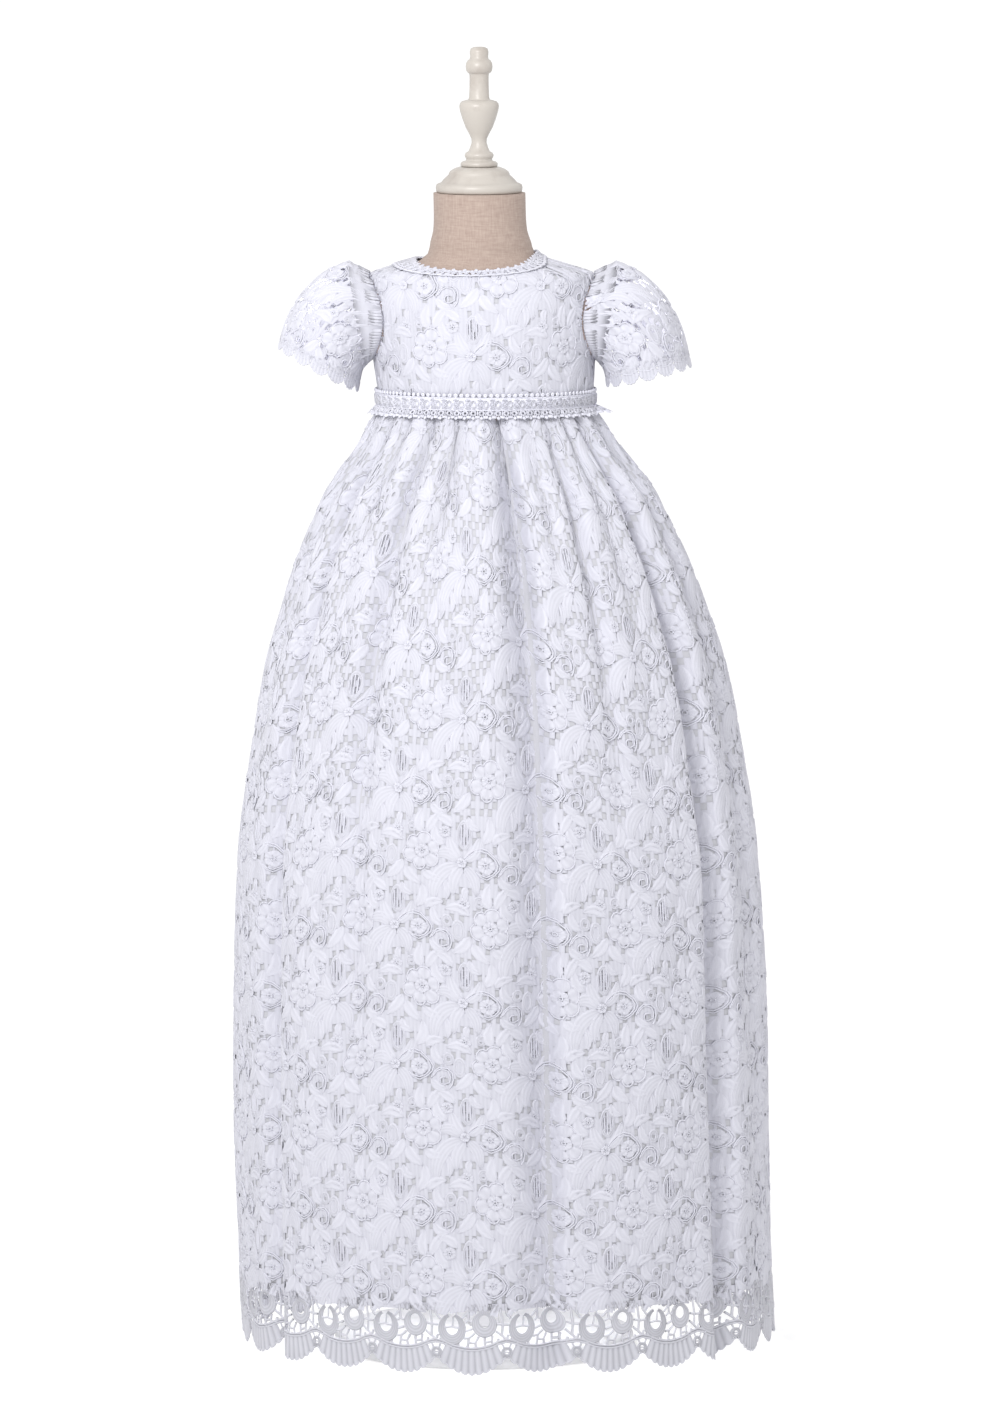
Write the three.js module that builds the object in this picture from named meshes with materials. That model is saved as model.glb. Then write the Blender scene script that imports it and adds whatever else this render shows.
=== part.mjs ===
// A child's long christening gown of heavy cotton lace over a lining, worn by a limbless dress form.
// Millimetres. +Z is up, the front of the gown faces -Y and the floor is z = 0.
import * as THREE from "three";

// Driving dimensions
const WAIST_Z = 758; // seam where the gathered skirt joins the bodice
const HEM_DROP = 752; // waist seam to the tips of the hem scallops
const LINING_DROP = 700; // waist seam to the lower edge of the skirt lining
const SEAM_GAP = 0.3; // free gap between pieces that meet at a seam
const LACE_WALL = 1.4; // lace measured level, so that it is over 1 mm square to a sloping skirt
const LINING_WALL = 1.3;
const BODICE_WALL = 1.6; // lace and its lining as one wall
const SLEEVE_WALL = 1.2;
const BAND_WALL = 1.3;
const SCALLOPS = 24; // lace repeats round the hem

// Skirt outline: `drop` is measured down from the waist seam, `half` is half the width seen from
// the front, `depth` half the depth and `shift` the sideways swing of the skirt.
const SKIRT = [
  { drop: 0, half: 86, depth: 62, shift: 1.5 },
  { drop: 32, half: 106, depth: 82, shift: 3.5 },
  { drop: 64, half: 130, depth: 103, shift: 5 },
  { drop: 96, half: 146, depth: 118, shift: 6 },
  { drop: 128, half: 160, depth: 131, shift: 7 },
  { drop: 160, half: 171, depth: 142, shift: 8 },
  { drop: 208, half: 186, depth: 156, shift: 9 },
  { drop: 288, half: 200, depth: 170, shift: 10 },
  { drop: 352, half: 209, depth: 178, shift: 11 },
  { drop: 480, half: 214, depth: 182, shift: 13 },
  { drop: 640, half: 215, depth: 183, shift: 16 },
  { drop: 760, half: 214, depth: 182, shift: 19 },
];

// Folds that run down from the gathers. `top` is the place of the valley at the waist and `low` its
// place further down, in degrees from the front towards +X. `deep` is how far it goes in and
// `reach` how far down it carries. The side seams lie in the valleys at 90 degrees.
const FOLDS = [
  { top: -90, low: -90, deep: 3, reach: 500 },
  { top: -70, low: -76, deep: 5, reach: 260 },
  { top: -56, low: -59, deep: 8, reach: 900 },
  { top: -42, low: -47, deep: 4, reach: 150 },
  { top: -28, low: -33, deep: 9, reach: 300 },
  { top: -14, low: -18, deep: 4, reach: 130 },
  { top: 6, low: 10.5, deep: 13, reach: 900 },
  { top: 20, low: 20, deep: 4, reach: 120 },
  { top: 32, low: 29, deep: 9, reach: 210 },
  { top: 43, low: 41, deep: 4, reach: 150 },
  { top: 54, low: 55, deep: 11, reach: 800 },
  { top: 72, low: 72, deep: 6, reach: 600 },
  { top: 90, low: 90, deep: 3, reach: 500 },
  { top: 106, low: 107, deep: 8, reach: 500 },
  { top: 122, low: 126, deep: 6, reach: 240 },
  { top: 139, low: 142, deep: 9, reach: 800 },
  { top: 157, low: 158, deep: 5, reach: 200 },
  { top: 174, low: 172, deep: 10, reach: 900 },
  { top: 192, low: 191, deep: 5, reach: 180 },
  { top: 210, low: 208, deep: 9, reach: 500 },
  { top: 230, low: 232, deep: 6, reach: 260 },
  { top: 250, low: 251, deep: 9, reach: 800 },
  { top: 270, low: 270, deep: 3, reach: 500 },
];
const STEPS_PER_FOLD = 3;
const SKIRT_LEVELS = [3.5, 28, 58, 98, 150, 220, 330, 500];

// Openings of one hem repeat that are cut through. `across` and `drop` place the middle of the
// hole, `across` as a share of the repeat; `wide` and `high` are its size.
const HEM_HOLES = [
  { across: 0.2, drop: 709, wide: 8.5, high: 8.5, lean: 0, sides: 6 },
  { across: 0.25, drop: 719, wide: 8, high: 6.5, lean: 20, sides: 6 },
  { across: 0.4, drop: 708.5, wide: 5, high: 8, lean: 0, sides: 5 },
  { across: 0.69, drop: 709, wide: 8, high: 10, lean: 0, sides: 6 },
  { across: 0.93, drop: 712, wide: 5.5, high: 10, lean: 0, sides: 5 },
  { across: 0.44, drop: 727.5, wide: 8, high: 9, lean: 0, sides: 6 },
  { across: 0.62, drop: 730, wide: 8, high: 9.5, lean: 0, sides: 6 },
  { across: 0.8, drop: 728.5, wide: 7.5, high: 8, lean: 15, sides: 5 },
];
// Lower edge of one hem repeat, a shell between two notches.
const HEM_EDGE = [
  { across: 0, drop: 739.5 },
  { across: 0.14, drop: 745 },
  { across: 0.32, drop: 750 },
  { across: 0.5, drop: HEM_DROP },
  { across: 0.68, drop: 750 },
  { across: 0.86, drop: 745 },
  { across: 1, drop: 739.5 },
];
const HEM_TOP_POINTS = 3;

// Level sections of the bodice.
const TORSO = [
  { z: 650, half: 70, depth: 52, shift: 1.5 },
  { z: 664, half: 84, depth: 63, shift: 1.5 },
  { z: 700, half: 88, depth: 66, shift: 1.5 },
  { z: 758, half: 85, depth: 61, shift: 1.5 },
  { z: 778, half: 86.5, depth: 62.5, shift: 1 },
  { z: 798, half: 88.5, depth: 63, shift: 0 },
  { z: 820, half: 90, depth: 61.5, shift: -0.5 },
  { z: 840, half: 91, depth: 58, shift: -1 },
  { z: 852, half: 91, depth: 54, shift: -1.2 },
  { z: 864, half: 89, depth: 49, shift: -1.4 },
  { z: 868, half: 79, depth: 47, shift: -1.5 },
  { z: 872, half: 66, depth: 44.5, shift: -1.6 },
  { z: 876, half: 52.5, depth: 42, shift: -1.8 },
  { z: 880, half: 45.5, depth: 40, shift: -2 },
  { z: 890, half: 40, depth: 38, shift: -2.6 },
  { z: 900, half: 37.2, depth: 37, shift: -3 },
  { z: 928, half: 36.6, depth: 36.6, shift: -3.6 },
];
const FORM_CLEARANCE = 3.2; // outside of the bodice to the surface of the form
const BODICE_LEVELS = [755.4, 772, 796, 798.5, 805, 816, 830, 844, 855, 861.5, 864];
const NECK_STEPS = 2; // rows between the shoulder point and the neckline
const BODICE_FRONT_COLUMNS = 16;
const BODICE_BACK_COLUMNS = 8;
const ARMHOLE = { low: 796, high: 864, spread: 30 };
const NECKLINE = { side: 877, front: 868, back: 872, tilt: 3 };

// Sleeve sections from the armhole to the cuff: `topX`, `topZ` on the outer curve, `underX`,
// `underZ` below the arm and `depth` half the size from front to back.
const SLEEVE_RIGHT = [
  { topX: 106, topZ: 873.5, underX: 94, underZ: 790, depth: 38 },
  { topX: 126, topZ: 864, underX: 95.5, underZ: 786.5, depth: 45 },
  { topX: 145, topZ: 845, underX: 96.5, underZ: 783, depth: 48 },
  { topX: 158, topZ: 820, underX: 97, underZ: 779, depth: 48 },
  { topX: 166, topZ: 789, underX: 97.5, underZ: 773, depth: 45 },
];
const SLEEVE_LEFT = [
  { topX: 108, topZ: 873.5, underX: 95, underZ: 790, depth: 38 },
  { topX: 129, topZ: 864, underX: 97, underZ: 786, depth: 45 },
  { topX: 147, topZ: 846, underX: 98, underZ: 781.5, depth: 48 },
  { topX: 158, topZ: 826, underX: 99, underZ: 776, depth: 48 },
  { topX: 164.5, topZ: 804, underX: 100, underZ: 769, depth: 45 },
];
const SLEEVE_COLUMNS = 8; // from the top of the arm to below it
const SLEEVE_HOLE = 0.26; // half the size of a hole as a share of its cell
const SLEEVE_HOLE_SIDES = 6;
const CUFF_SCALLOP = 5; // how far the tips of the cuff reach past the notches

const BAND = { low: 755, high: 772, columns: 36, opening: 3, lift: 0.7 };
const BUTTON = { radius: 5, thick: 3, count: 5, low: 782, high: 862, angle: 172.5, sides: 8 };

// Turned cap and finial of the form: `r` is the radius at the height `z`.
const CAP = [
  { z: 928.4, r: 34 },
  { z: 932, r: 34.6 },
  { z: 935, r: 33.5 },
  { z: 937, r: 30 },
  { z: 942, r: 25 },
  { z: 945, r: 23 },
  { z: 948.5, r: 16 },
];
const FINIAL = [
  { z: 948.8, r: 14.5 },
  { z: 952, r: 14.5 },
  { z: 954.5, r: 10.5 },
  { z: 958, r: 11.5 },
  { z: 961, r: 8.4 },
  { z: 969, r: 6 },
  { z: 977, r: 9.5 },
  { z: 987, r: 13.6 },
  { z: 996, r: 15.7 },
  { z: 1000.5, r: 14 },
  { z: 1002, r: 8.6 },
  { z: 1022, r: 7.6 },
  { z: 1025, r: 10 },
  { z: 1029, r: 10.6 },
  { z: 1033, r: 9 },
  { z: 1035.5, r: 7.4 },
  { z: 1041, r: 7.4 },
  { z: 1044, r: 4.5 },
];
const TURNED_X = -3.8;
const POLE = { radius: 12, low: 16.3, high: 650.9 };
const FOOT = [
  { z: 0, r: 118 },
  { z: 3, r: 120 },
  { z: 10, r: 120 },
  { z: 14, r: 115 },
  { z: 16, r: 105 },
];

const cotton = new THREE.MeshStandardMaterial({ color: 0xf4f4f8, roughness: 0.9, metalness: 0 });
const liningCloth = new THREE.MeshStandardMaterial({ color: 0xececef, roughness: 0.95, metalness: 0 });
const linen = new THREE.MeshStandardMaterial({ color: 0xcdb6a5, roughness: 0.95, metalness: 0 });
const paintedWood = new THREE.MeshStandardMaterial({ color: 0xece6df, roughness: 0.45, metalness: 0 });
const pearl = new THREE.MeshStandardMaterial({ color: 0xf6f4f0, roughness: 0.25, metalness: 0 });

const radians = THREE.MathUtils.degToRad;
const clamp = THREE.MathUtils.clamp;

// A smooth curve through one column of a table, read at `at` of its `key` column.
function curve(rows, key, at, column) {
  const last = rows.length - 1;
  const value = clamp(at, rows[0][key], rows[last][key]);
  let i = 0;
  while (i < last - 1 && value > rows[i + 1][key]) i += 1;
  const span = rows[i + 1][key] - rows[i][key];
  const slope = (k) => {
    const before = Math.max(k - 1, 0);
    const after = Math.min(k + 1, last);
    return (rows[after][column] - rows[before][column]) / (rows[after][key] - rows[before][key]);
  };
  const s = (value - rows[i][key]) / span;
  return (
    rows[i][column] * (1 + 2 * s) * (1 - s) ** 2 +
    rows[i + 1][column] * s * s * (3 - 2 * s) +
    span * slope(i) * s * (1 - s) ** 2 -
    span * slope(i + 1) * s * s * (1 - s)
  );
}

// A point on a level ellipse, moved in along its normal.
function ellipsePoint(half, depth, shift, z, angle, inset) {
  const x = Math.sin(radians(angle));
  const y = -Math.cos(radians(angle));
  const normal = new THREE.Vector2(x * depth, y * half).normalize();
  return new THREE.Vector3(shift + half * x - normal.x * inset, depth * y - normal.y * inset, z);
}

// Where a fold lies at a given drop: it leans from its place at the waist to its place below.
const foldAngle = (fold, drop) => fold.low + (fold.top - fold.low) * Math.exp(-drop / 60);

// How far the cloth is drawn in by the folds.
function foldDepth(angle, drop) {
  const around = THREE.MathUtils.euclideanModulo(angle + 90, 360) - 90;
  let i = 0;
  while (i < FOLDS.length - 2 && around > foldAngle(FOLDS[i + 1], drop)) i += 1;
  const start = foldAngle(FOLDS[i], drop);
  const share = clamp((around - start) / (foldAngle(FOLDS[i + 1], drop) - start), 0, 1);
  const fold = share < 0.5 ? FOLDS[i] : FOLDS[i + 1];
  const opening = 0.22 + 0.78 * THREE.MathUtils.smoothstep(drop, 0, 70);
  const fading = Math.exp(-((drop / fold.reach) ** 2));
  const wave = (0.5 + 0.5 * Math.cos(2 * Math.PI * share)) ** 1.3;
  return fold.deep * opening * fading * wave;
}

function skirtPoint(angle, drop, inset) {
  return ellipsePoint(
    curve(SKIRT, "drop", drop, "half"),
    curve(SKIRT, "drop", drop, "depth"),
    curve(SKIRT, "drop", drop, "shift"),
    WAIST_Z - drop,
    angle,
    inset + foldDepth(angle, drop),
  );
}

function torsoSection(angle, z) {
  return ellipsePoint(
    curve(TORSO, "z", z, "half"),
    curve(TORSO, "z", z, "depth"),
    curve(TORSO, "z", z, "shift"),
    z,
    angle,
    0,
  );
}

// A point on the body of the gown, moved in square to the surface, which lies almost level on the shoulders.
function torsoPoint(angle, z, inset) {
  const roundwards = torsoSection(angle + 1, z).sub(torsoSection(angle - 1, z));
  const upwards = torsoSection(angle, z + 1).sub(torsoSection(angle, z - 1));
  const normal = roundwards.cross(upwards).normalize();
  return torsoSection(angle, z).addScaledVector(normal, -inset);
}

// Height of the neckline, lowest at the front.
function necklineZ(angle) {
  const towardsFront = Math.cos(radians(angle));
  const dip = towardsFront > 0 ? NECKLINE.side - NECKLINE.front : NECKLINE.side - NECKLINE.back;
  return NECKLINE.side - dip * towardsFront ** 2 + NECKLINE.tilt * Math.sin(radians(angle));
}

// Half the angle that the armhole takes out of the side of the bodice at a height.
function armholeSpread(z) {
  const middle = (ARMHOLE.low + ARMHOLE.high) / 2;
  const share = clamp((z - middle) / ((ARMHOLE.high - ARMHOLE.low) / 2), -1, 1);
  return ARMHOLE.spread * Math.sqrt(1 - share * share);
}

// A flat pattern piece: points with `u` and `v`, and triangles that turn left in (u, v).
class Pattern {
  constructor() {
    this.points = [];
    this.triangles = [];
    this.known = new Map();
  }

  point(u, v) {
    const key = u.toFixed(4) + " " + v.toFixed(4);
    if (!this.known.has(key)) {
      this.known.set(key, this.points.length);
      this.points.push(new THREE.Vector2(u, v));
    }
    return this.known.get(key);
  }

  // A face with openings, both as lists of [u, v].
  face(outline, openings) {
    const toVectors = (loop) => loop.map(([u, v]) => new THREE.Vector2(u, v));
    const edge = toVectors(outline);
    if (THREE.ShapeUtils.isClockWise(edge)) edge.reverse();
    const holes = openings.map((loop) => {
      const hole = toVectors(loop);
      if (!THREE.ShapeUtils.isClockWise(hole)) hole.reverse();
      return hole;
    });
    const all = [...edge, ...holes.flat()];
    for (const [a, b, c] of THREE.ShapeUtils.triangulateShape(edge, holes)) {
      const corner = [all[a], all[b], all[c]];
      if (Math.abs(THREE.ShapeUtils.area(corner)) < 1e-9) continue;
      if (THREE.ShapeUtils.area(corner) < 0) corner.reverse();
      this.triangles.push(corner.map((p) => this.point(p.x, p.y)));
    }
  }

  // A grid of cells between the given columns and rows; `opening` may give a loop for a cell.
  grid(columns, rows, opening = () => null) {
    for (let i = 0; i + 1 < columns.length; i += 1)
      for (let j = 0; j + 1 < rows.length; j += 1) {
        const corners = [
          [columns[i], rows[j]],
          [columns[i + 1], rows[j]],
          [columns[i + 1], rows[j + 1]],
          [columns[i], rows[j + 1]],
        ];
        const loop = opening(i, j);
        this.face(corners, loop ? [loop] : []);
      }
  }
}

// Bends a pattern into a closed wall between an outer and an inner surface.
function wall(name, pattern, outside, inside, material) {
  const count = pattern.points.length;
  const places = [];
  for (const surface of [outside, inside])
    for (const { x, y } of pattern.points) places.push(...surface(x, y).toArray());
  const index = [];
  const border = new Set();
  for (const [a, b, c] of pattern.triangles) {
    index.push(a, b, c, count + a, count + c, count + b);
    for (const [from, to] of [[a, b], [b, c], [c, a]])
      if (!border.delete(to + " " + from)) border.add(from + " " + to);
  }
  for (const edge of border) {
    const [from, to] = edge.split(" ").map(Number);
    index.push(from, count + from, to, to, count + from, count + to);
  }
  return piece(name, places, index, material);
}

function piece(name, places, index, material) {
  const geometry = new THREE.BufferGeometry();
  geometry.setAttribute("position", new THREE.Float32BufferAttribute(places, 3));
  geometry.setIndex(index);
  geometry.computeVertexNormals();
  const mesh = new THREE.Mesh(geometry, material);
  mesh.name = name;
  return mesh;
}

// A closed body through rings of points, listed from the lowest up and each turning left from above.
function loft(name, rings, material) {
  const around = rings[0].length;
  const places = rings.flat().flatMap((p) => p.toArray());
  const middleOf = (ring) =>
    ring.reduce((sum, p) => sum.add(p), new THREE.Vector3()).divideScalar(ring.length);
  const index = [];
  for (let j = 0; j + 1 < rings.length; j += 1)
    for (let i = 0; i < around; i += 1) {
      const next = (i + 1) % around;
      const a = j * around + i;
      const b = j * around + next;
      index.push(a, b, b + around, a, b + around, a + around);
    }
  const bottom = places.length / 3;
  places.push(...middleOf(rings[0]).toArray(), ...middleOf(rings[rings.length - 1]).toArray());
  const lastRing = (rings.length - 1) * around;
  for (let i = 0; i < around; i += 1) {
    const next = (i + 1) % around;
    index.push(bottom, next, i, bottom + 1, lastRing + i, lastRing + next);
  }
  return piece(name, places, index, material);
}

// A turned body from a table of heights and radii.
function turned(name, rows, x, sides, material) {
  const ring = ({ z, r }) =>
    Array.from({ length: sides }, (_, i) => {
      const angle = (2 * Math.PI * i) / sides;
      return new THREE.Vector3(x + r * Math.cos(angle), r * Math.sin(angle), z);
    });
  return loft(name, rows.map(ring), material);
}

const steps = (from, to, count) =>
  Array.from({ length: count + 1 }, (_, i) => from + ((to - from) * i) / count);

// The skirt pattern runs round in fold units: a whole number is a valley.
function skirtAngle(u, drop) {
  const i = clamp(Math.floor(u), 0, FOLDS.length - 2);
  const start = foldAngle(FOLDS[i], drop);
  return start + (foldAngle(FOLDS[i + 1], drop) - start) * (u - i);
}

const SIDE_FOLD = FOLDS.findIndex((fold) => fold.low === 90);
const SEAM_SHARE = 0.01; // share of a fold left free at a side seam

function skirtPanel(name, from, to, lastDrop, inset, thickness, material) {
  const columns = steps(from, to, (to - from) * STEPS_PER_FOLD);
  columns[0] += SEAM_SHARE;
  columns[columns.length - 1] -= SEAM_SHARE;
  const rows = [...SKIRT_LEVELS, lastDrop].map((drop) => -drop);
  rows.reverse();
  const pattern = new Pattern();
  pattern.grid(columns, rows);
  const surface = (move) => (u, v) => skirtPoint(skirtAngle(u, -v), -v, move);
  return wall(name, pattern, surface(inset), surface(inset + thickness), material);
}

// The cut lace edge below the lining, repeat by repeat. The pattern runs round in degrees.
function hemPanel(name, firstAngle) {
  const pitch = 360 / SCALLOPS;
  const top = LINING_DROP + SEAM_GAP;
  const pattern = new Pattern();
  for (let k = 0; k < SCALLOPS / 2; k += 1) {
    const place = (across, drop) => [firstAngle + pitch * (k + across), -drop];
    const outline = [
      ...HEM_EDGE.map(({ across, drop }) => place(across, drop)),
      place(1, 720),
      ...steps(1, 0, HEM_TOP_POINTS).map((across) => place(across, top)),
      place(0, 720),
    ];
    pattern.face(outline, HEM_HOLES.map((hole) => hemHole(hole, place)));
  }
  const lastAngle = firstAngle + 180;
  const trim = 0.06; // degrees kept free at the side seams
  const surface = (move) => (u, v) =>
    skirtPoint(clamp(u, firstAngle + trim, lastAngle - trim), -v, move);
  return wall(name, pattern, surface(0), surface(LACE_WALL), cotton);
}

function hemHole({ across, drop, wide, high, lean, sides }, place) {
  const repeatWidth = 1247 / SCALLOPS; // the skirt is 1247 mm round at the hem
  return Array.from({ length: sides }, (_, i) => {
    const turn = radians((360 * i) / sides + 30);
    const sideways = (wide / 2) * Math.cos(turn);
    const down = (high / 2) * Math.sin(turn) + sideways * Math.tan(radians(lean));
    return place(across + sideways / repeatWidth, drop + down);
  });
}

// Bodice panels: the pattern runs from side to side as a share and up in levels.
function bodicePanel(name, centreAngle, from, to, columnCount) {
  const columns = steps(from, to, columnCount);
  const shoulder = BODICE_LEVELS.length - 1;
  const rows = steps(0, shoulder + NECK_STEPS, shoulder + NECK_STEPS);
  const pattern = new Pattern();
  pattern.grid(columns, rows);
  const seam = THREE.MathUtils.radToDeg(SEAM_GAP / 2 / 90);
  const surface = (inset) => (share, level) => {
    const row = Math.min(level, shoulder);
    const angle = centreAngle + share * (90 - seam - armholeSpread(BODICE_LEVELS[row]));
    const rise = (level - row) / NECK_STEPS;
    return torsoPoint(angle, THREE.MathUtils.lerp(BODICE_LEVELS[row], necklineZ(angle), rise), inset);
  };
  return wall(name, pattern, surface(0), surface(BODICE_WALL), cotton);
}

// The edge of the armhole as a loop: 0 is the top, 90 the front and 180 below the arm.
function armholePoint(around, side, outward) {
  const middle = (ARMHOLE.low + ARMHOLE.high) / 2;
  const z = middle + ((ARMHOLE.high - ARMHOLE.low) / 2) * Math.cos(radians(around));
  const away = ARMHOLE.spread * Math.sin(radians(around));
  const point = torsoPoint(side * (90 - away), z, 0);
  point.x += side * outward;
  return point;
}

function sleevePoint(rows, side, around, along, inset) {
  const level = clamp(along, 0, rows.length);
  const i = Math.min(Math.floor(level), rows.length - 1);
  const ringPoint = (ring, angle) => {
    if (ring === 0) return armholePoint(angle, side, 1.1);
    const row = rows[ring - 1];
    const cosine = Math.cos(radians(angle));
    const sine = Math.sin(radians(angle));
    const x = (row.topX + row.underX) / 2 + ((row.topX - row.underX) / 2) * cosine;
    const z = (row.topZ + row.underZ) / 2 + ((row.topZ - row.underZ) / 2) * cosine;
    return new THREE.Vector3(side * x, -row.depth * sine, z);
  };
  const at = (angle, l) => {
    const k = Math.min(Math.floor(l), rows.length - 1);
    return ringPoint(k, angle).lerp(ringPoint(k + 1, angle), l - k);
  };
  const point = at(around, level);
  if (inset === 0) return point;
  const roundwards = at(around + 2, level).sub(at(around - 2, level));
  const lower = Math.max(level - 0.3, 0);
  const upper = Math.min(level + 0.3, rows.length);
  const lengthwards = at(around, upper).sub(at(around, lower));
  const normal = roundwards.cross(lengthwards).normalize().multiplyScalar(side);
  return point.addScaledVector(normal, -inset);
}

// Half a sleeve, from the top of the arm to below it, with lace openings cut in its larger cells.
function sleeveHalf(name, rows, side, isFront) {
  const turn = isFront ? 1 : -1;
  const levels = rows.length;
  const seam = 0.4;
  const columns = steps(seam, 180 - seam, SLEEVE_COLUMNS);
  const pattern = new Pattern();
  const mirrored = side * turn < 0 ? -1 : 1;
  const cuffTip = CUFF_SCALLOP / 27;
  for (let i = 0; i < SLEEVE_COLUMNS; i += 1)
    for (let j = 0; j < levels; j += 1) {
      const isCuff = j === levels - 1;
      const left = columns[i];
      const right = columns[i + 1];
      const middle = (left + right) / 2;
      const end = isCuff ? j + 1 - cuffTip : j + 1;
      const outline = [
        [left * mirrored, j],
        [right * mirrored, j],
        [right * mirrored, end],
        ...(isCuff ? [[middle * mirrored, j + 1]] : []),
        [left * mirrored, end],
      ];
      const isLarge = j > 0 && i >= 1 && i < 5;
      const halfWide = (right - left) * SLEEVE_HOLE;
      const halfHigh = (end - j) * SLEEVE_HOLE;
      const loop = Array.from({ length: SLEEVE_HOLE_SIDES }, (_, k) => {
        const angle = (2 * Math.PI * k) / SLEEVE_HOLE_SIDES;
        return [
          (middle + halfWide * Math.cos(angle)) * mirrored,
          (j + end) / 2 + halfHigh * Math.sin(angle),
        ];
      });
      pattern.face(outline, isLarge ? [loop] : []);
    }
  const surface = (inset) => (u, v) => sleevePoint(rows, side, u * mirrored * turn, v, inset);
  return wall(name, pattern, surface(0), surface(SLEEVE_WALL), cotton);
}

// The flat tape round the waist, open at the back where the gown fastens.
function waistBand() {
  const pattern = new Pattern();
  const columns = steps(-180 + BAND.opening, 180 - BAND.opening, BAND.columns);
  pattern.grid(columns, [BAND.low, BAND.high]);
  const surface = (inset) => (u, v) => torsoPoint(u, v, inset);
  return wall("waist_band", pattern, surface(-BAND.lift - BAND_WALL), surface(-BAND.lift), cotton);
}

// The form lies inside the gown up to the neckline and is measured directly above it.
function formTorso() {
  const around = 20;
  const clearance = (z) => FORM_CLEARANCE * (1 - THREE.MathUtils.smoothstep(z, 876, 892));
  const ring = ({ z }) =>
    Array.from({ length: around }, (_, i) => torsoPoint((360 * i) / around, z, clearance(z)));
  return loft("form_torso", TORSO.map(ring), linen);
}

function buttons() {
  return steps(BUTTON.low, BUTTON.high, BUTTON.count - 1).map((z, i) => {
    const centre = torsoPoint(BUTTON.angle, z, 0);
    const outward = torsoPoint(BUTTON.angle, z, -1).sub(centre).normalize();
    const sideways = new THREE.Vector3(0, 0, 1).cross(outward).normalize();
    const upward = outward.clone().cross(sideways);
    const rings = [
      { lift: 0.5, r: BUTTON.radius * 0.7 },
      { lift: 1.2, r: BUTTON.radius },
      { lift: BUTTON.thick, r: BUTTON.radius * 0.55 },
    ].map(({ lift, r }) =>
      Array.from({ length: BUTTON.sides }, (_, k) => {
        const angle = (2 * Math.PI * k) / BUTTON.sides;
        return centre
          .clone()
          .addScaledVector(outward, lift)
          .addScaledVector(sideways, r * Math.cos(angle))
          .addScaledVector(upward, r * Math.sin(angle));
      }),
    );
    return loft("button_" + (i + 1), rings, pearl);
  });
}

const gown = new THREE.Group();
gown.name = "christening_gown";
const liningInset = LACE_WALL + 0.5;
const lastFold = FOLDS.length - 1;
gown.add(
  turned("form_foot", FOOT, 0, 28, paintedWood),
  turned("form_pole", [{ z: POLE.low, r: POLE.radius }, { z: POLE.high, r: POLE.radius }], 0, 12, paintedWood),
  formTorso(),
  turned("form_cap", CAP, TURNED_X, 20, paintedWood),
  turned("form_finial", FINIAL, TURNED_X, 12, paintedWood),
  bodicePanel("bodice_front", 0, -1, 1, BODICE_FRONT_COLUMNS),
  bodicePanel("bodice_back_right", 180, -1, -0.004, BODICE_BACK_COLUMNS),
  bodicePanel("bodice_back_left", 180, 0.004, 1, BODICE_BACK_COLUMNS),
  ...buttons(),
  waistBand(),
  sleeveHalf("sleeve_right_front", SLEEVE_RIGHT, 1, true),
  sleeveHalf("sleeve_right_back", SLEEVE_RIGHT, 1, false),
  sleeveHalf("sleeve_left_front", SLEEVE_LEFT, -1, true),
  sleeveHalf("sleeve_left_back", SLEEVE_LEFT, -1, false),
  skirtPanel("skirt_lace_front", 0, SIDE_FOLD, LINING_DROP, 0, LACE_WALL, cotton),
  skirtPanel("skirt_lace_back", SIDE_FOLD, lastFold, LINING_DROP, 0, LACE_WALL, cotton),
  skirtPanel("lining_front", 0, SIDE_FOLD, LINING_DROP, liningInset, LINING_WALL, liningCloth),
  skirtPanel("lining_back", SIDE_FOLD, lastFold, LINING_DROP, liningInset, LINING_WALL, liningCloth),
  hemPanel("hem_lace_front", -90),
  hemPanel("hem_lace_back", 90),
);

export default gown;
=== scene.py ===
from math import cos, pi, radians, sin, tan

import bmesh
import bpy
import numpy as np
from mathutils import Matrix, Vector
from mathutils.bvhtree import BVHTree


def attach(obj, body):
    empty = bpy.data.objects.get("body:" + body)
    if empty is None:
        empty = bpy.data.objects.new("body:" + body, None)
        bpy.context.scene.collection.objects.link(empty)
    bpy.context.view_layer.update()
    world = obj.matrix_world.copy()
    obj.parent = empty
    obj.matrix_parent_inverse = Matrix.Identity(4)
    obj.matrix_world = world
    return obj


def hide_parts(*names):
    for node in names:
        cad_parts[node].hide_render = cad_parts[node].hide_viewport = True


# A child's lace christening gown on a limbless dress form. Tables and patterns are in millimetres.
MM = 0.001
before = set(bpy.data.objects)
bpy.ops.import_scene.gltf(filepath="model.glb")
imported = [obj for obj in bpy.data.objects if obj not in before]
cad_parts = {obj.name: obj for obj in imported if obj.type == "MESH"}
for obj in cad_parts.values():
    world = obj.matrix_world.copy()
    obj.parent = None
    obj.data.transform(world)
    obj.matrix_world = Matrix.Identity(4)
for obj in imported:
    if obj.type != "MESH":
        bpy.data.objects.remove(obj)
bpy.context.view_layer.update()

# Driving dimensions, the same as the solids'
WAIST_Z = 758
HEM_DROP = 752
LINING_DROP = 700
SCALLOPS = 24  # lace repeats round the skirt
REPEAT_WIDE = 52  # one repeat at the hem
REPEAT_HIGH = 111
LACE_ROUND = SCALLOPS * REPEAT_WIDE
FOLD_DEEPER = 1.7  # the cloth falls deeper into its folds than the solid can show
LACE_GROUND = 0.9  # how far the ground of the lace lies inside the outer face of the solid
LINING_INSET = 1.5
LINING_TOP = 2.5  # below the waist seam
BACKING_INSET = 1.35  # the plain cloth behind the bodice lace
UNDERLAP_INSET = 0.95
SEAM_TUCK = 1.8  # how far the backing runs on under a sleeve seam, in degrees

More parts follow.
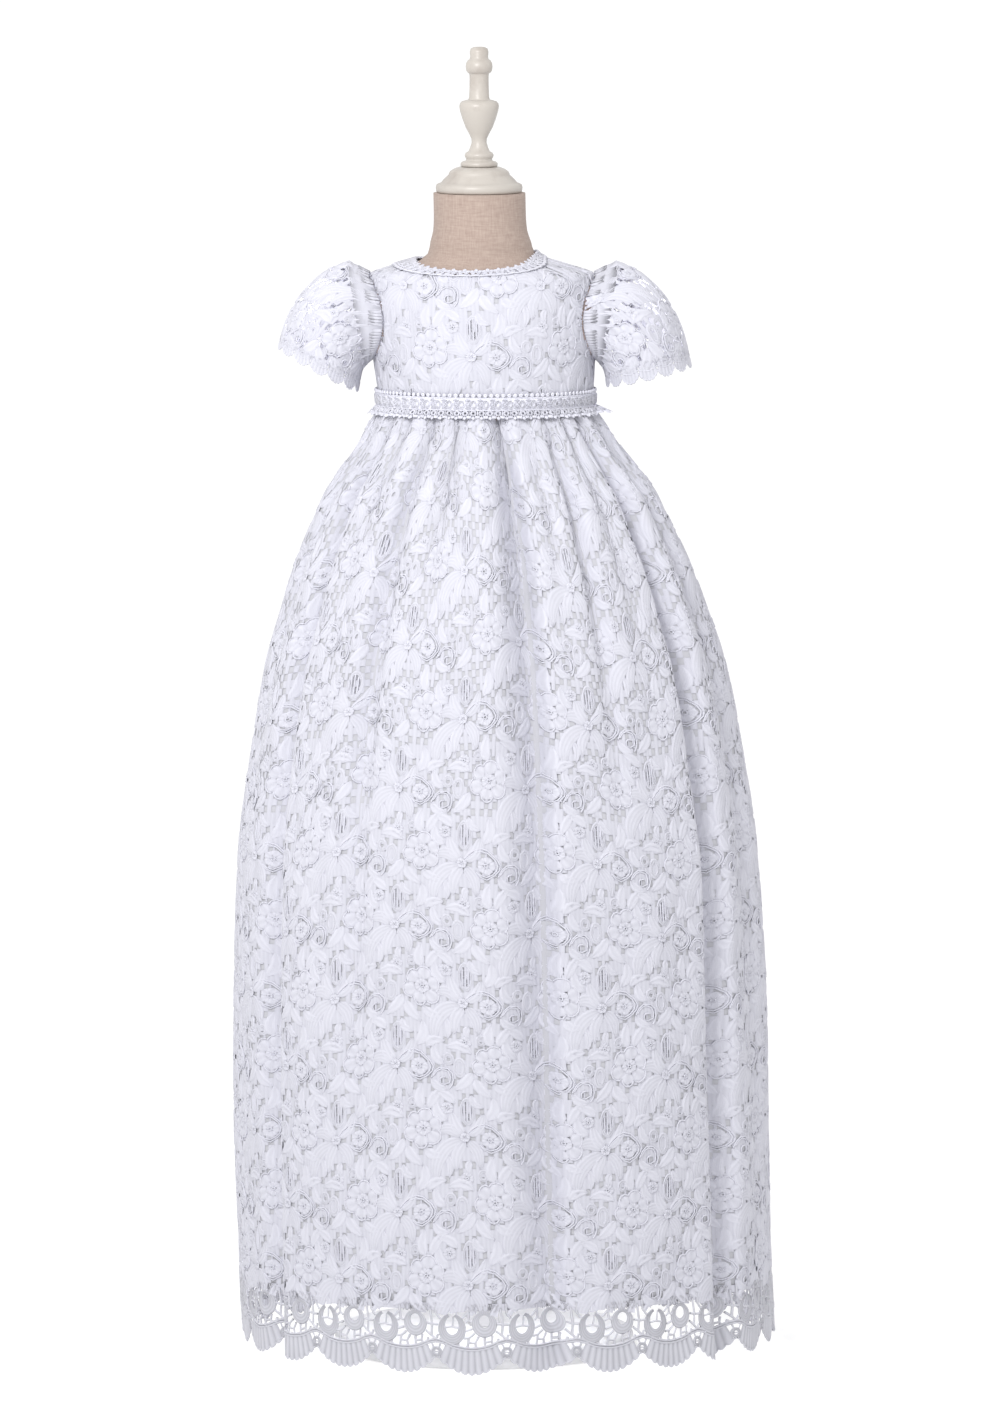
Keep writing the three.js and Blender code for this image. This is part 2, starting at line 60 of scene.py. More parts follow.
# Skirt outline: drop below the waist seam, half width, half depth and sideways swing.
SKIRT = {
    "drop": [0, 32, 64, 96, 128, 160, 208, 288, 352, 480, 640, 760],
    "half": [86, 106, 130, 146, 160, 171, 186, 200, 209, 214, 215, 214],
    "depth": [62, 82, 103, 118, 131, 142, 156, 170, 178, 182, 183, 182],
    "shift": [1.5, 3.5, 5, 6, 7, 8, 9, 10, 11, 13, 16, 19],
}

# Folds below the gathers: place at the waist, place further down, depth and how far down they carry.
FOLDS = np.array(
    [
        (-90, -90, 3, 500),
        (-70, -76, 5, 260),
        (-56, -59, 10, 1100),
        (-42, -47, 4, 150),
        (-28, -33, 10, 480),
        (-14, -18, 4, 130),
        (6, 10.5, 17, 1300),
        (20, 20, 4, 120),
        (32, 29, 9, 210),
        (43, 41, 4, 150),
        (54, 55, 14, 1200),
        (72, 72, 6, 600),
        (90, 90, 3, 500),
        (106, 107, 8, 500),
        (122, 126, 6, 240),
        (139, 142, 9, 800),
        (157, 158, 5, 200),
        (174, 172, 10, 900),
        (192, 191, 5, 180),
        (210, 208, 9, 500),
        (230, 232, 6, 260),
        (250, 251, 9, 800),
        (270, 270, 3, 500),
    ],
    dtype=[("top", float), ("low", float), ("deep", float), ("reach", float)],
)

TORSO = {
    "z": [650, 664, 700, 758, 778, 798, 820, 840, 852, 864, 868, 872, 876, 880, 890, 900, 928],
    "half": [70, 84, 88, 85, 86.5, 88.5, 90, 91, 91, 89, 79, 66, 52.5, 45.5, 40, 37.2, 36.6],
    "depth": [52, 63, 66, 61, 62.5, 63, 61.5, 58, 54, 49, 47, 44.5, 42, 40, 38, 37, 36.6],
    "shift": [1.5, 1.5, 1.5, 1.5, 1, 0, -0.5, -1, -1.2, -1.4, -1.5, -1.6, -1.8, -2, -2.6, -3, -3.6],
}
FORM_CLEARANCE = 3.2
ARMHOLE = {"low": 796, "high": 864, "spread": 30}
NECKLINE = {"side": 877, "front": 868, "back": 872, "tilt": 3}
BAND = {"low": 755, "high": 772, "opening": 3, "lift": 0.7, "wall": 1.3}

SLEEVES = {
    "right": {
        "side": 1,
        "top": [(106, 873.5), (126, 864), (145, 845), (158, 820), (166, 789)],
        "under": [(94, 790), (95.5, 786.5), (96.5, 783), (97, 779), (97.5, 773)],
        "depth": [38, 45, 48, 48, 45],
    },
    "left": {
        "side": -1,
        "top": [(108, 873.5), (129, 864), (147, 846), (158, 826), (164.5, 804)],
        "under": [(95, 790), (97, 786), (98, 781.5), (99, 776), (100, 769)],
        "depth": [38, 45, 48, 48, 45],
    },
}
SLEEVE_REPEATS = 5
SLEEVE_TOP_LONG = 122  # armhole to cuff over the top of the arm
SLEEVE_UNDER_LONG = 24
CUFF_SCALLOPS = 14


# Places on the gown


def curve(table, key, at, column):
    """A smooth curve through one column of a table, read at `at` of its key column."""
    keys = np.array(table[key], float)
    values = np.array(table[column], float)
    last = len(keys) - 1
    at = np.clip(np.asarray(at, float), keys[0], keys[-1])
    before = np.maximum(np.arange(last + 1) - 1, 0)
    after = np.minimum(np.arange(last + 1) + 1, last)
    slope = (values[after] - values[before]) / (keys[after] - keys[before])
    i = np.clip(np.searchsorted(keys, at, side="right") - 1, 0, last - 1)
    span = keys[i + 1] - keys[i]
    s = (at - keys[i]) / span
    return (
        values[i] * (1 + 2 * s) * (1 - s) ** 2
        + values[i + 1] * s * s * (3 - 2 * s)
        + span * slope[i] * s * (1 - s) ** 2
        - span * slope[i + 1] * s * s * (1 - s)
    )


def ellipse_points(half, depth, shift, z, angle, inset):
    """Points on level ovals, moved in square to them. Angle 0 is the front and 90 the right."""
    x = np.sin(np.radians(angle))
    y = -np.cos(np.radians(angle))
    length = np.hypot(x * depth, y * half)
    return np.stack(
        [
            shift + half * x - inset * x * depth / length,
            depth * y - inset * y * half / length,
            z + 0 * x,
        ],
        axis=1,
    )


def fold_places(drop):
    """The angle of every fold at each drop."""
    top = FOLDS["top"][:, None]
    low = FOLDS["low"][:, None]
    return low + (top - low) * np.exp(-drop[None, :] / 60)


def fold_depth(angle, drop):
    """How far the cloth is drawn in by the folds."""
    around = np.mod(angle + 90, 360) - 90
    places = fold_places(drop)
    i = np.clip((around[None, :] >= places).sum(axis=0) - 1, 0, len(FOLDS) - 2)
    each = np.arange(len(drop))
    start = places[i, each]
    share = np.clip((around - start) / (places[i + 1, each] - start), 0, 1)
    fold = FOLDS[np.where(share < 0.5, i, i + 1)]
    rise = np.clip(drop / 70, 0, 1)
    opening = 0.22 + 0.78 * rise * rise * (3 - 2 * rise)
    fading = np.exp(-((drop / fold["reach"]) ** 2))
    wave = (0.5 + 0.5 * np.cos(2 * pi * share)) ** 1.7
    return FOLD_DEEPER * fold["deep"] * opening * fading * wave


def slack(angle, drop):
    """Fine gathers below the waist seam, and the small uneven waves of cloth between its folds."""
    growth = np.clip(drop / 200, 0, 1)
    turn = np.radians(angle)
    gathers = 1.0 * np.exp(-drop / 70) * np.cos(52 * turn + 2.4 * np.sin(7 * turn) + 1.1 * np.sin(3 * turn))
    return np.clip(drop / 12, 0.2, 1) * gathers + growth * (
        0.8 * np.sin(9 * turn + drop / 95)
        + 0.6 * np.sin(17 * turn - drop / 60 + 1.3)
        + 0.4 * np.sin(29 * turn + drop / 38 + 0.4)
    )


def skirt_points(angle, drop, inset):
    """Points on the skirt, `drop` below the waist seam."""
    return ellipse_points(
        curve(SKIRT, "drop", drop, "half"),
        curve(SKIRT, "drop", drop, "depth"),
        curve(SKIRT, "drop", drop, "shift"),
        WAIST_Z - drop,
        angle,
        inset + fold_depth(angle, drop) + slack(angle, drop),
    )


def gathered_angle(across, drop):
    """Where lace that is `across` mm round at the hem comes to lie at a drop. Between two folds it
    keeps its width in the middle and is tucked into the valleys."""
    hem_angle = -90 + 360 * np.mod(across, LACE_ROUND) / LACE_ROUND
    low = FOLDS["low"]
    i = np.clip(np.searchsorted(low, hem_angle, side="right") - 1, 0, len(FOLDS) - 2)
    share = (hem_angle - low[i]) / (low[i + 1] - low[i])
    places = fold_places(drop)
    each = np.arange(len(drop))
    start = places[i, each]
    end = places[i + 1, each]
    radius = np.hypot(curve(SKIRT, "drop", drop, "half"), curve(SKIRT, "drop", drop, "depth")) / 2**0.5
    wanted = (low[i + 1] - low[i]) / 360 * LACE_ROUND
    crowding = np.clip(0.8 * wanted / (np.radians(end - start) * radius), 1, 3)
    steepness = 1.08 * np.sqrt(crowding**2 - 1) + 1e-3
    spread = np.tanh(steepness * (2 * share - 1)) / np.tanh(steepness)
    return start + (end - start) * (spread + 1) / 2


def torso_points(angle, z, inset):
    """Points on the body of the gown, moved in square to its surface."""

    def section(a, height):
        return ellipse_points(
            curve(TORSO, "z", height, "half"),
            curve(TORSO, "z", height, "depth"),
            curve(TORSO, "z", height, "shift"),
            height,
            a,
            0 * a,
        )

    roundwards = section(angle + 1, z) - section(angle - 1, z)
    upwards = section(angle, z + 1) - section(angle, z - 1)
    normal = np.cross(roundwards, upwards)
    normal /= np.linalg.norm(normal, axis=1)[:, None]
    return section(angle, z) - normal * np.asarray(inset)[..., None]


def neckline_z(angle):
    """Height of the neckline, lower in front and behind and higher on the right shoulder."""
    front = np.cos(np.radians(angle))
    dip = np.where(front > 0, NECKLINE["side"] - NECKLINE["front"], NECKLINE["side"] - NECKLINE["back"])
    return NECKLINE["side"] - dip * front**2 + NECKLINE["tilt"] * np.sin(np.radians(angle))


def armhole_spread(z):
    middle = (ARMHOLE["low"] + ARMHOLE["high"]) / 2
    share = np.clip((z - middle) / ((ARMHOLE["high"] - ARMHOLE["low"]) / 2), -1, 1)
    return ARMHOLE["spread"] * np.sqrt(1 - share**2)


def armhole_points(around, side, outward):
    """The edge of the armhole: 0 is the top, 90 the front and 180 below the arm."""
    middle = (ARMHOLE["low"] + ARMHOLE["high"]) / 2
    z = middle + (ARMHOLE["high"] - ARMHOLE["low"]) / 2 * np.cos(np.radians(around))
    angle = side * (90 - ARMHOLE["spread"] * np.sin(np.radians(around)))
    points = torso_points(angle, z, 0 * z)
    points[:, 0] += side * outward
    return points


def sleeve_points(sleeve, around, along, inset):
    """`along` runs from 0 at the armhole to 5 at the cuff; `around` is as on the armhole."""
    side = sleeve["side"]
    top = np.array(sleeve["top"], float)
    under = np.array(sleeve["under"], float)
    depth = np.array(sleeve["depth"], float)

    def place(a, level):
        level = np.clip(level, 0, len(top))
        cosine = np.cos(np.radians(a))
        sine = np.sin(np.radians(a))
        row = np.clip(level - 1, 0, len(top) - 1)
        sections = {
            "row": np.arange(len(top)),
            "top_x": top[:, 0],
            "top_z": top[:, 1],
            "under_x": under[:, 0],
            "under_z": under[:, 1],
            "deep": depth,
        }
        top_x, top_z, under_x, under_z, deep = (
            curve(sections, "row", row, column)
            for column in ("top_x", "top_z", "under_x", "under_z", "deep")
        )
        points = np.stack(
            [
                side * ((top_x + under_x) / 2 + (top_x - under_x) / 2 * cosine),
                -deep * sine,
                (top_z + under_z) / 2 + (top_z - under_z) / 2 * cosine,
            ],
            axis=1,
        )
        edge = armhole_points(a, side, 1.1)
        near = np.clip(1 - level, 0, 1)[:, None]
        return edge * near + points * (1 - near)

    roundwards = place(around + 2, along) - place(around - 2, along)
    lengthwards = place(around, along + 0.3) - place(around, along - 0.3)
    normal = side * np.cross(roundwards, lengthwards)
    normal /= np.maximum(np.linalg.norm(normal, axis=1), 1e-9)[:, None]
    above_underarm = np.cos(np.radians(around)) > -0.3
    gathers = np.clip(1.6 - along, 0, 1) * 1.3 * np.cos(np.radians(around * 14)) * above_underarm
    return place(around, along) - normal * (np.asarray(inset) + gathers)[:, None]


# Bending flat work onto the gown


def points_of(mesh):
    flat = np.empty(len(mesh.vertices) * 3)
    mesh.vertices.foreach_get("co", flat)
    return flat.reshape(-1, 3)


def bend(mesh, to_gown):
    """Moves every point of a flat pattern in mm to its place on the gown in metres. The flat place
    stays on the mesh as the attribute "flat", which the cloth materials read."""
    flat = points_of(mesh)
    attribute = mesh.attributes.new("flat", "FLOAT_VECTOR", "POINT")
    attribute.data.foreach_set("vector", flat.astype(np.float32).ravel())
    mesh.vertices.foreach_set("co", (to_gown(flat[:, 0], flat[:, 1], flat[:, 2]) * MM).ravel())
    mesh.update()


def mesh_from(bm, name):
    mesh = bpy.data.meshes.new(name)
    bm.to_mesh(mesh)
    bm.free()
    return mesh


def repeated(tile, columns, rows, pitch_x, pitch_y):
    """The tile set out in columns and rows as one mesh."""
    piece = bpy.data.objects.new("pattern", tile)
    bpy.context.scene.collection.objects.link(piece)
    for count, offset in ((columns, (pitch_x, 0, 0)), (rows, (0, pitch_y, 0))):
        array = piece.modifiers.new("repeat", "ARRAY")
        array.count = count
        array.use_relative_offset = False
        array.use_constant_offset = True
        array.constant_offset_displace = offset
    bpy.context.view_layer.update()
    made = bpy.data.meshes.new_from_object(piece.evaluated_get(bpy.context.evaluated_depsgraph_get()))
    bpy.data.objects.remove(piece)
    return made


def shifted(mesh, x, y):
    """The same mesh, moved in its plane."""
    mesh.transform(Matrix.Translation((x, y, 0)))
    return mesh


def half_drop(layers, columns):
    """Lace with every second column of its repeat dropped by half its height. layers holds a tile
    and its number of rows, from the lowest up."""
    strips = []
    for column, drop in ((0, 0), (1, REPEAT_HIGH / 2)):
        up = -drop
        for tile, rows in layers:
            strip = repeated(tile, columns // 2, rows, 2 * REPEAT_WIDE, REPEAT_HIGH)
            strips.append(shifted(strip, column * REPEAT_WIDE, up))
            up += rows * REPEAT_HIGH
    return joined(strips, "lace_half_drop")


def keep_where(mesh, wanted):
    """Cuts the flat lace to shape: keeps the faces whose middle is wanted(x, y)."""
    bm = bmesh.new()
    bm.from_mesh(mesh)
    middles = np.array([face.calc_center_median() for face in bm.faces])
    keep = wanted(middles[:, 0], middles[:, 1])
    unwanted = [face for face, stays in zip(bm.faces, keep) if not stays]
    bmesh.ops.delete(bm, geom=unwanted, context="FACES")
    bm.to_mesh(mesh)
    bm.free()
    return mesh


def add_piece(name, mesh, material, replaces=()):
    """A visible piece of the one rigid body, with its finish and the solids that it stands for."""
    piece = bpy.data.objects.new(name, mesh)
    bpy.context.scene.collection.objects.link(piece)
    mesh.materials.clear()
    mesh.materials.append(material)
    mesh.polygons.foreach_set("use_smooth", [True] * len(mesh.polygons))
    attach(piece, "root")
    if replaces:
        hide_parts(*replaces)
    return piece


def give_thickness(piece, thick):
    """Makes a single layer a cloth of `thick` mm."""
    cloth = piece.modifiers.new("cloth", "SOLIDIFY")
    cloth.thickness = thick * MM
    cloth.offset = -1


def joined(meshes, name):
    """Several meshes as one."""
    bm = bmesh.new()
    for mesh in meshes:
        bm.from_mesh(mesh)
    return mesh_from(bm, name)


# Lace motifs, drawn flat

# Heights across a filled shape, from one edge to the other
RIMMED = (-0.3, 0.95, 0.25, 0.25, 0.95, -0.3)
VEINED = (-0.3, 0.9, 0.15, 1.0, 0.15, 0.9, -0.3)
RIBBED = (-0.3, 0.9, 0.1, 0.85, 0.1, 0.85, 0.1, 0.9, -0.3)
CORDED = (-0.3, 0.9, 0.0, 0.9, -0.3)


def patch(bm, along, across, place):
    """A sheet of along x across faces; place(u, v) gives each point, u and v from 0 to 1."""
    made = bmesh.ops.create_grid(bm, x_segments=along, y_segments=across, size=0.5)["verts"]
    for vertex in made:
        vertex.co = Vector(place(vertex.co.x + 0.5, vertex.co.y + 0.5))
    faces = list({face for vertex in made for face in vertex.link_faces})
    for face in faces:
        face.normal_update()
    if sum(face.normal.z for face in faces) < 0:
        bmesh.ops.reverse_faces(bm, faces=faces)


def smooth_path(points, at):
    """Points and sideways directions at shares `at` of a smooth path through a few points."""
    points = np.array(points, float)
    table = {"key": np.arange(len(points)), "x": points[:, 0], "y": points[:, 1]}
    key = np.asarray(at, float) * (len(points) - 1)

    def read(k):
        return np.stack([curve(table, "key", k, "x"), curve(table, "key", k, "y")], axis=-1)

    along = read(key + 0.02) - read(key - 0.02)
    along /= np.maximum(np.linalg.norm(along, axis=-1), 1e-6)[..., None]
    return read(key), np.stack([-along[..., 1], along[..., 0]], axis=-1)


def blade(bm, points, wide, heights=RIMMED, steps=6, fullest=0.42, blunt=0.6, lift=0.0):
    """A filled leaf, petal or band along a path. It is `wide` at its fullest and narrow at its ends;
    fullest=None keeps it even."""
    centre, side = smooth_path(points, np.linspace(0, 1, steps + 1))
    across = len(heights) - 1

    def place(u, v):
        i = round(u * steps)
        fullness = 1
        if fullest:
            fullness = max(sin(pi * u ** (np.log(0.5) / np.log(fullest))), 0.0) ** blunt
            fullness = 0.1 + 0.9 * fullness
        x, y = centre[i] + side[i] * (v - 0.5) * wide * fullness
        return (x, y, lift + heights[round(v * across)] * (0.5 + 0.5 * fullness))

    patch(bm, steps, across, place)


def ray(x, y, turn, start, end):
    """A straight path outwards from a point, between two distances."""
    c = cos(radians(turn))
    s = sin(radians(turn))
    return [(x + start * c, y + start * s), (x + end * c, y + end * s)]


def tube(bm, path, radius, sides=4, closed=False, height=0.35):
    """A cord or bar along a flat path."""
    rings = []
    skin = []
    count = len(path)
    for i, (x, y) in enumerate(path):
        ahead = path[(i + 1) % count] if closed or i + 1 < count else path[i]
        behind = path[i - 1] if closed or i > 0 else path[i]
        turn = np.arctan2(ahead[1] - behind[1], ahead[0] - behind[0])
        place = (
            Matrix.Translation((x, y, height))
            @ Matrix.Rotation(turn, 4, "Z")
            @ Matrix.Rotation(pi / 2, 4, "Y")
        )
        made = bmesh.ops.create_circle(bm, cap_ends=False, radius=radius, segments=sides, matrix=place)
        rings.append(list({edge for vertex in made["verts"] for edge in vertex.link_edges}))
    pairs = list(zip(rings, rings[1:])) + ([(rings[-1], rings[0])] if closed else [])
    for first, second in pairs:
        skin += bmesh.ops.bridge_loops(bm, edges=first + second)["faces"]
    bmesh.ops.recalc_face_normals(bm, faces=skin)


def arc(x, y, across, up, start, end, count):
    """Points along part of an oval, from one turn in degrees to another."""
    turns = np.radians(np.linspace(start, end, count + 1))
    return [(x + across * cos(turn), y + up * sin(turn)) for turn in turns]


def ring(bm, x, y, across, up, radius=0.7, count=12):
    """A closed oval cord."""
    tube(bm, arc(x, y, across, up, 0, 360, count)[:-1], radius, closed=True)


def cord(bm, points, steps, radius=0.7):
    """A round cord on a smooth path through a few points."""
    centre, _ = smooth_path(points, np.linspace(0, 1, steps + 1))
    tube(bm, [tuple(point) for point in centre], radius)


def cup(bm, inner, outer, start=0, end=360, steps=16, heights=VEINED):
    """A filled ring between two ovals, each (x, y, half width, half height)."""
    across = len(heights) - 1

    def place(u, v):
        turn = radians(start + (end - start) * u)
        x, y, half, high = (a + (b - a) * v for a, b in zip(inner, outer))
        return (x + half * cos(turn), y + high * sin(turn), heights[round(v * across)])

    patch(bm, steps, across, place)


def flower(bm, x, y, size, petals, turn=0, lift=0.0):
    """Blunt petals about a small raised ring."""
    for k in range(petals):
        path = ray(x, y, turn + 360 * k / petals, 0.22 * size, size)
        blade(bm, path, 1.5 * size * tan(pi / petals), steps=4, fullest=0.6, blunt=0.45, lift=lift)
    ring(bm, x, y, 0.2 * size, 0.2 * size, radius=0.6, count=8)


def pod(bm, x, y, wide, high):
    """An upright oval of thick cord with slots between fine bars."""
    cup(bm, (x, y, wide * 0.3, high * 0.34), (x, y, wide / 2, high / 2), steps=14, heights=CORDED)
    for share in (-0.5, 0, 0.5):
        reach = high * 0.36 * (1 - 0.4 * abs(share))
        bar_x = x + share * wide * 0.38
        tube(bm, [(bar_x, y - reach), (bar_x, y + reach)], 0.8, height=0.1)
    for share in (-0.5, 0, 0.5):
        bar_y = y + share * high * 0.4
        tube(bm, [(x - wide * 0.3, bar_y), (x + wide * 0.3, bar_y)], 0.4, sides=3, height=0.1)


def lace_ground(motifs, open_shares):
    """The stitched ground round the motifs: upright ribs with ladders of small openings. There is
    none under a motif, as in the real lace."""
    bm = bmesh.new()
    above = BVHTree.FromBMesh(motifs)
    columns = 32
    rows = 20

    def place(u, v):
        wave = 0.6 * sin(2 * pi * (u + 2 * v)) + 0.3 * sin(2 * pi * (3 * u - v))
        return (u * REPEAT_WIDE + wave, v * REPEAT_HIGH, 0.22 if round(u * columns) % 2 else -0.3)

    patch(bm, columns, rows, place)
    bm.faces.ensure_lookup_table()
    opened = []
    for face in bm.faces:
        middle = face.calc_center_median()
        column = int(middle.x / REPEAT_WIDE * columns / 2)
        row = int(middle.y / REPEAT_HIGH * rows)
        is_open = (column + row) % 2 == 0 and (3 * column + row) % 5 in open_shares
        corners = [vertex.co for vertex in face.verts]
        hits = [above.ray_cast(Vector((x, y, 5)), Vector((0, 0, -1)), 4.8)[0] for x, y, z in corners]
        if is_open or None not in hits:
            opened.append(face)
    bmesh.ops.delete(bm, geom=opened, context="FACES")
    return mesh_from(bm, "lace_ground")


def lace_tile(open_shares, airy=False):
    """One repeat of the skirt lace: a burst of leaves, a scroll round a small flower, and a rose.
    open_shares says how open its ground is, and the airy kind has fewer filling leaves."""
    bm = bmesh.new()
    # burst of leaves, with a slotted pod above it
    pod(bm, 27, 96, 12, 24)
    blade(bm, [(24, 76), (18, 84), (15, 95)], 10, VEINED, steps=8)
    blade(bm, [(27, 76), (35, 83), (39, 95)], 9, VEINED, steps=8)
    blade(bm, [(23, 75), (14, 81), (2, 79)], 10.5, RIBBED, steps=8)
    blade(bm, [(24, 73), (11, 66), (4, 54), (3, 40)], 12, RIBBED, steps=10)
    blade(bm, [(25, 72), (19, 61), (18, 48)], 9.5, VEINED, steps=8)
    blade(bm, [(27, 72), (34, 63), (36, 50)], 9.5, RIBBED, steps=8)
    flower(bm, 25, 74.5, 4, 5, 20, lift=0.5)
    # scroll of two cords that arches over a small flower
    for grow in (0, 1.9):
        r = 8.6 + grow
        arch = [(27, 76 + grow), (34, 83 + grow), (43, 84.5 + grow)]
        curl = [(43 + r, 77), (42 + r, 70), (43, 74 - r), (35.5, 69)]
        cord(bm, arch + curl, 11)
    flower(bm, 43.5, 74, 7, 5)
    # rose of two rows of petals
    for k in range(6):
        turn = 60 * k + 20
        far = 15.5 if k % 2 else 14
        blade(bm, ray(46, 26, turn, 5, far), 13.6, CORDED, steps=5, fullest=0.6, blunt=0.42, lift=-0.15)
        x = 46 + 8.8 * cos(radians(turn))
        y = 26 + 8.8 * sin(radians(turn))
        cord(bm, arc(x, y, far - 9, 7, turn - 75, turn + 75, 5), 5)
    flower(bm, 46, 26, 6, 5, 50)
    # leaves, ovals and small flowers that fill between them
    fillings = (
        ([(46, 41), (43, 49), (46, 61)], 9.5),
        ([(50, 41), (54, 50), (60, 58)], 8.5),
        ([(31, 18), (26, 9), (18, 2)], 9.5),
        ([(33, 13), (37, 5), (45, -2)], 9.5),
        ([(31, 34), (22, 39), (12, 36)], 9),
        ([(47, 10), (53, 5), (62, 5)], 9),
        ([(42, 90), (47, 99), (46, 110)], 9.5),
        ([(49, 90), (54, 96), (63, 97)], 9),
        ([(12, 88), (5, 93), (3, 104)], 9.5),
        ([(18, 102), (12, 108), (3, 111)], 8.5),
        ([(12, 60), (14, 52), (13, 43)], 6),
        ([(30, 110), (32, 103), (39, 100)], 7),
        ([(10, 22), (4, 27), (2, 37)], 8),
        ([(29, 56), (27, 51), (29, 45)], 6),
        ([(12, 2), (5, 4), (0, 10)], 8),
    )
    for points, wide in fillings[::2] if airy else fillings:
        blade(bm, points, wide, steps=5)
    cup(bm, (22, 21, 1.8, 4.5), (22, 21, 5.2, 9), steps=12, heights=CORDED)
    cup(bm, (13.5, 27, 1.4, 2), (13.5, 27, 4.6, 5.6), steps=10, heights=CORDED)
    cup(bm, (38, 45.5, 1.4, 2), (38, 45.5, 4.4, 5), steps=10, heights=CORDED)
    cord(bm, [(2, 12), (7, 18), (14, 16), (14.5, 8), (8, 6), (7.5, 11), (11, 12)], 10)
    cord(bm, [(0.5, 10.6), (5.5, 18.6), (15, 18), (17, 9), (14, 3)], 7)
    flower(bm, 12, 98, 5, 5, 30)
    flower(bm, 26, 42.5, 5, 5)
    ground = lace_ground(bm, open_shares)
    return joined([mesh_from(bm, "lace_motifs"), ground], "lace_repeat")


def hem_tile():
    """One repeat of the hem border. y is measured up from the tips of the scallops."""
    bm = bmesh.new()
    wide = REPEAT_WIDE
    middle = wide / 2
    ribs = 9

    def shell(u, v):
        """A fan of ribs with rounded ends, rooted in the sagging cord."""
        across = 2 * u - 1
        round_end = abs(sin(pi * u * ribs))
        root = np.array([middle + across * 19, 20.2 + 5 * across * across])
        tip = np.array([middle + across * 24, 2.4 + 12 * abs(across) ** 2.1 - 1.8 * round_end])
        x, y = root + (tip - root) * (1 - v)
        return (x, y, 0.9 * round_end - 0.1)

    patch(bm, ribs * 4, 3, shell)
    rim = [shell(i / (ribs * 4), 0.02)[:2] for i in range(ribs * 4 + 1)]
    tube(bm, rim, 0.65)
    half_sag = [(0, 27.4), (6, 25.8), (14, 22.2)]
    sag = half_sag + [(middle, 20.4)] + [(wide - x, y) for x, y in reversed(half_sag)]
    for grow in (0, 1.9):
        cord(bm, [(x, y + grow) for x, y in sag], 16, radius=0.95)
    # small barred ring between two shells
    for x, start in ((0, -90), (wide, 90)):
        toward = 1 if x == 0 else -1
        cup(bm, (x, 19, 1.6, 1.6), (x, 19, 4.3, 4.3), start, start + 180, steps=8, heights=CORDED)
        tube(bm, [(x, 19), (x + 2 * toward, 19)], 0.5)
        tube(bm, [(x + 2 * toward, 22.6), (x + 3.5 * toward, 26)], 0.7)
        tube(bm, [(x + 0.4 * toward, 14.9), (x + 5 * toward, 12.6)], 0.7)
    # large ring, thick below, with an eye that a bar divides
    cup(bm, (12, 40, 5, 7.4), (12, 37, 10.3, 12.6), 105, 435, steps=20, heights=RIBBED)
    tube(bm, [(6.6, 38.6), (12, 39.4), (17.4, 38.2)], 0.85)
    tube(bm, [(12.6, 39.2), (13.4, 47.5)], 0.65)
    # smaller ring with one eye, below a patch of fine net
    cup(bm, (36, 43.6, 3.9, 4.9), (36, 41, 9.2, 10.4), steps=18, heights=VEINED)
    for k in range(6):
        tube(bm, [(27 + 3.4 * k, 51), (29.6 + 3.4 * k, 57)], 0.5, sides=3)
        tube(bm, [(29.6 + 3.4 * k, 51), (27 + 3.4 * k, 57)], 0.5, sides=3)
    # bars that join the rings to the cord and to each other
    for path in (
        [(0, 29), (1.5, 33)],
        [(3.4, 30.4), (6.4, 27)],
        [(0, 41), (2, 41)],
        [(8, 25.4), (7.6, 27.4)],
        [(16.5, 23), (16.5, 26)],
        [(20.5, 30), (24.6, 30.6), (28.6, 34)],
        [(24.6, 30.6), (23.2, 23)],
        [(24.2, 27), (29, 26.4), (31.5, 31.5)],
        [(29, 26.4), (30, 22)],
        [(36, 31), (36, 22.6)],
        [(36, 27), (41, 28), (41.6, 32.5)],
        [(41, 28), (42, 25)],
        [(44.4, 36), (48.6, 32.4), (52, 29)],
        [(48.6, 32.4), (49.4, 41), (48, 54)],
        [(45.3, 42), (49.4, 41), (53, 41)],
        [(46, 30), (45, 26)],
        [(22.2, 36), (27, 37.6)],
        [(21.8, 42.6), (24.6, 44.6), (27, 43)],
        [(24.6, 44.6), (24, 55)],
        [(19.6, 46), (24.4, 51)],
        [(3.6, 45.4), (0.4, 50), (0, 58)],
    ):
        tube(bm, path, 0.95)
    return mesh_from(bm, "hem_repeat")


def cuff_tile(wide):
    """One scallop of the cuff edge, y up from its tip."""
    bm = bmesh.new()
    ribs = 5

    def shell(u, v):
        across = 2 * u - 1
        round_end = abs(sin(pi * u * ribs))
        root = np.array([wide / 2 + across * wide * 0.42, 9.5])
        tip = np.array([wide / 2 + across * wide * 0.5, 1.2 + 4.6 * abs(across) ** 2.4 - 0.9 * round_end])
        x, y = root + (tip - root) * (1 - v)
        return (x, y, 0.7 * round_end)

    patch(bm, ribs * 3, 2, shell)
    tube(bm, [shell(i / (ribs * 3), 0.03)[:2] for i in range(ribs * 3 + 1)], 0.55)
    cup(bm, (wide / 2, 10.5, 1.6, 1.4), (wide / 2, 10, 4, 3.6), steps=10, heights=CORDED)
    for x, turn in ((0, 60), (0, -20), (wide, 120), (wide, 200)):
        blade(bm, ray(x, 10, turn, 0.5, 6), 3.4, steps=3)
    cord(bm, [(0, 8.2), (wide / 2, 6.4), (wide, 8.2)], 6, radius=0.6)
    return mesh_from(bm, "cuff_repeat")


# Materials


def linear(hex_colour):
    """sRGB hex to a linear colour."""
    channels = [int(hex_colour[i : i + 2], 16) / 255 for i in (0, 2, 4)]
    return tuple(c / 12.92 if c <= 0.04045 else ((c + 0.055) / 1.055) ** 2.4 for c in channels) + (1.0,)


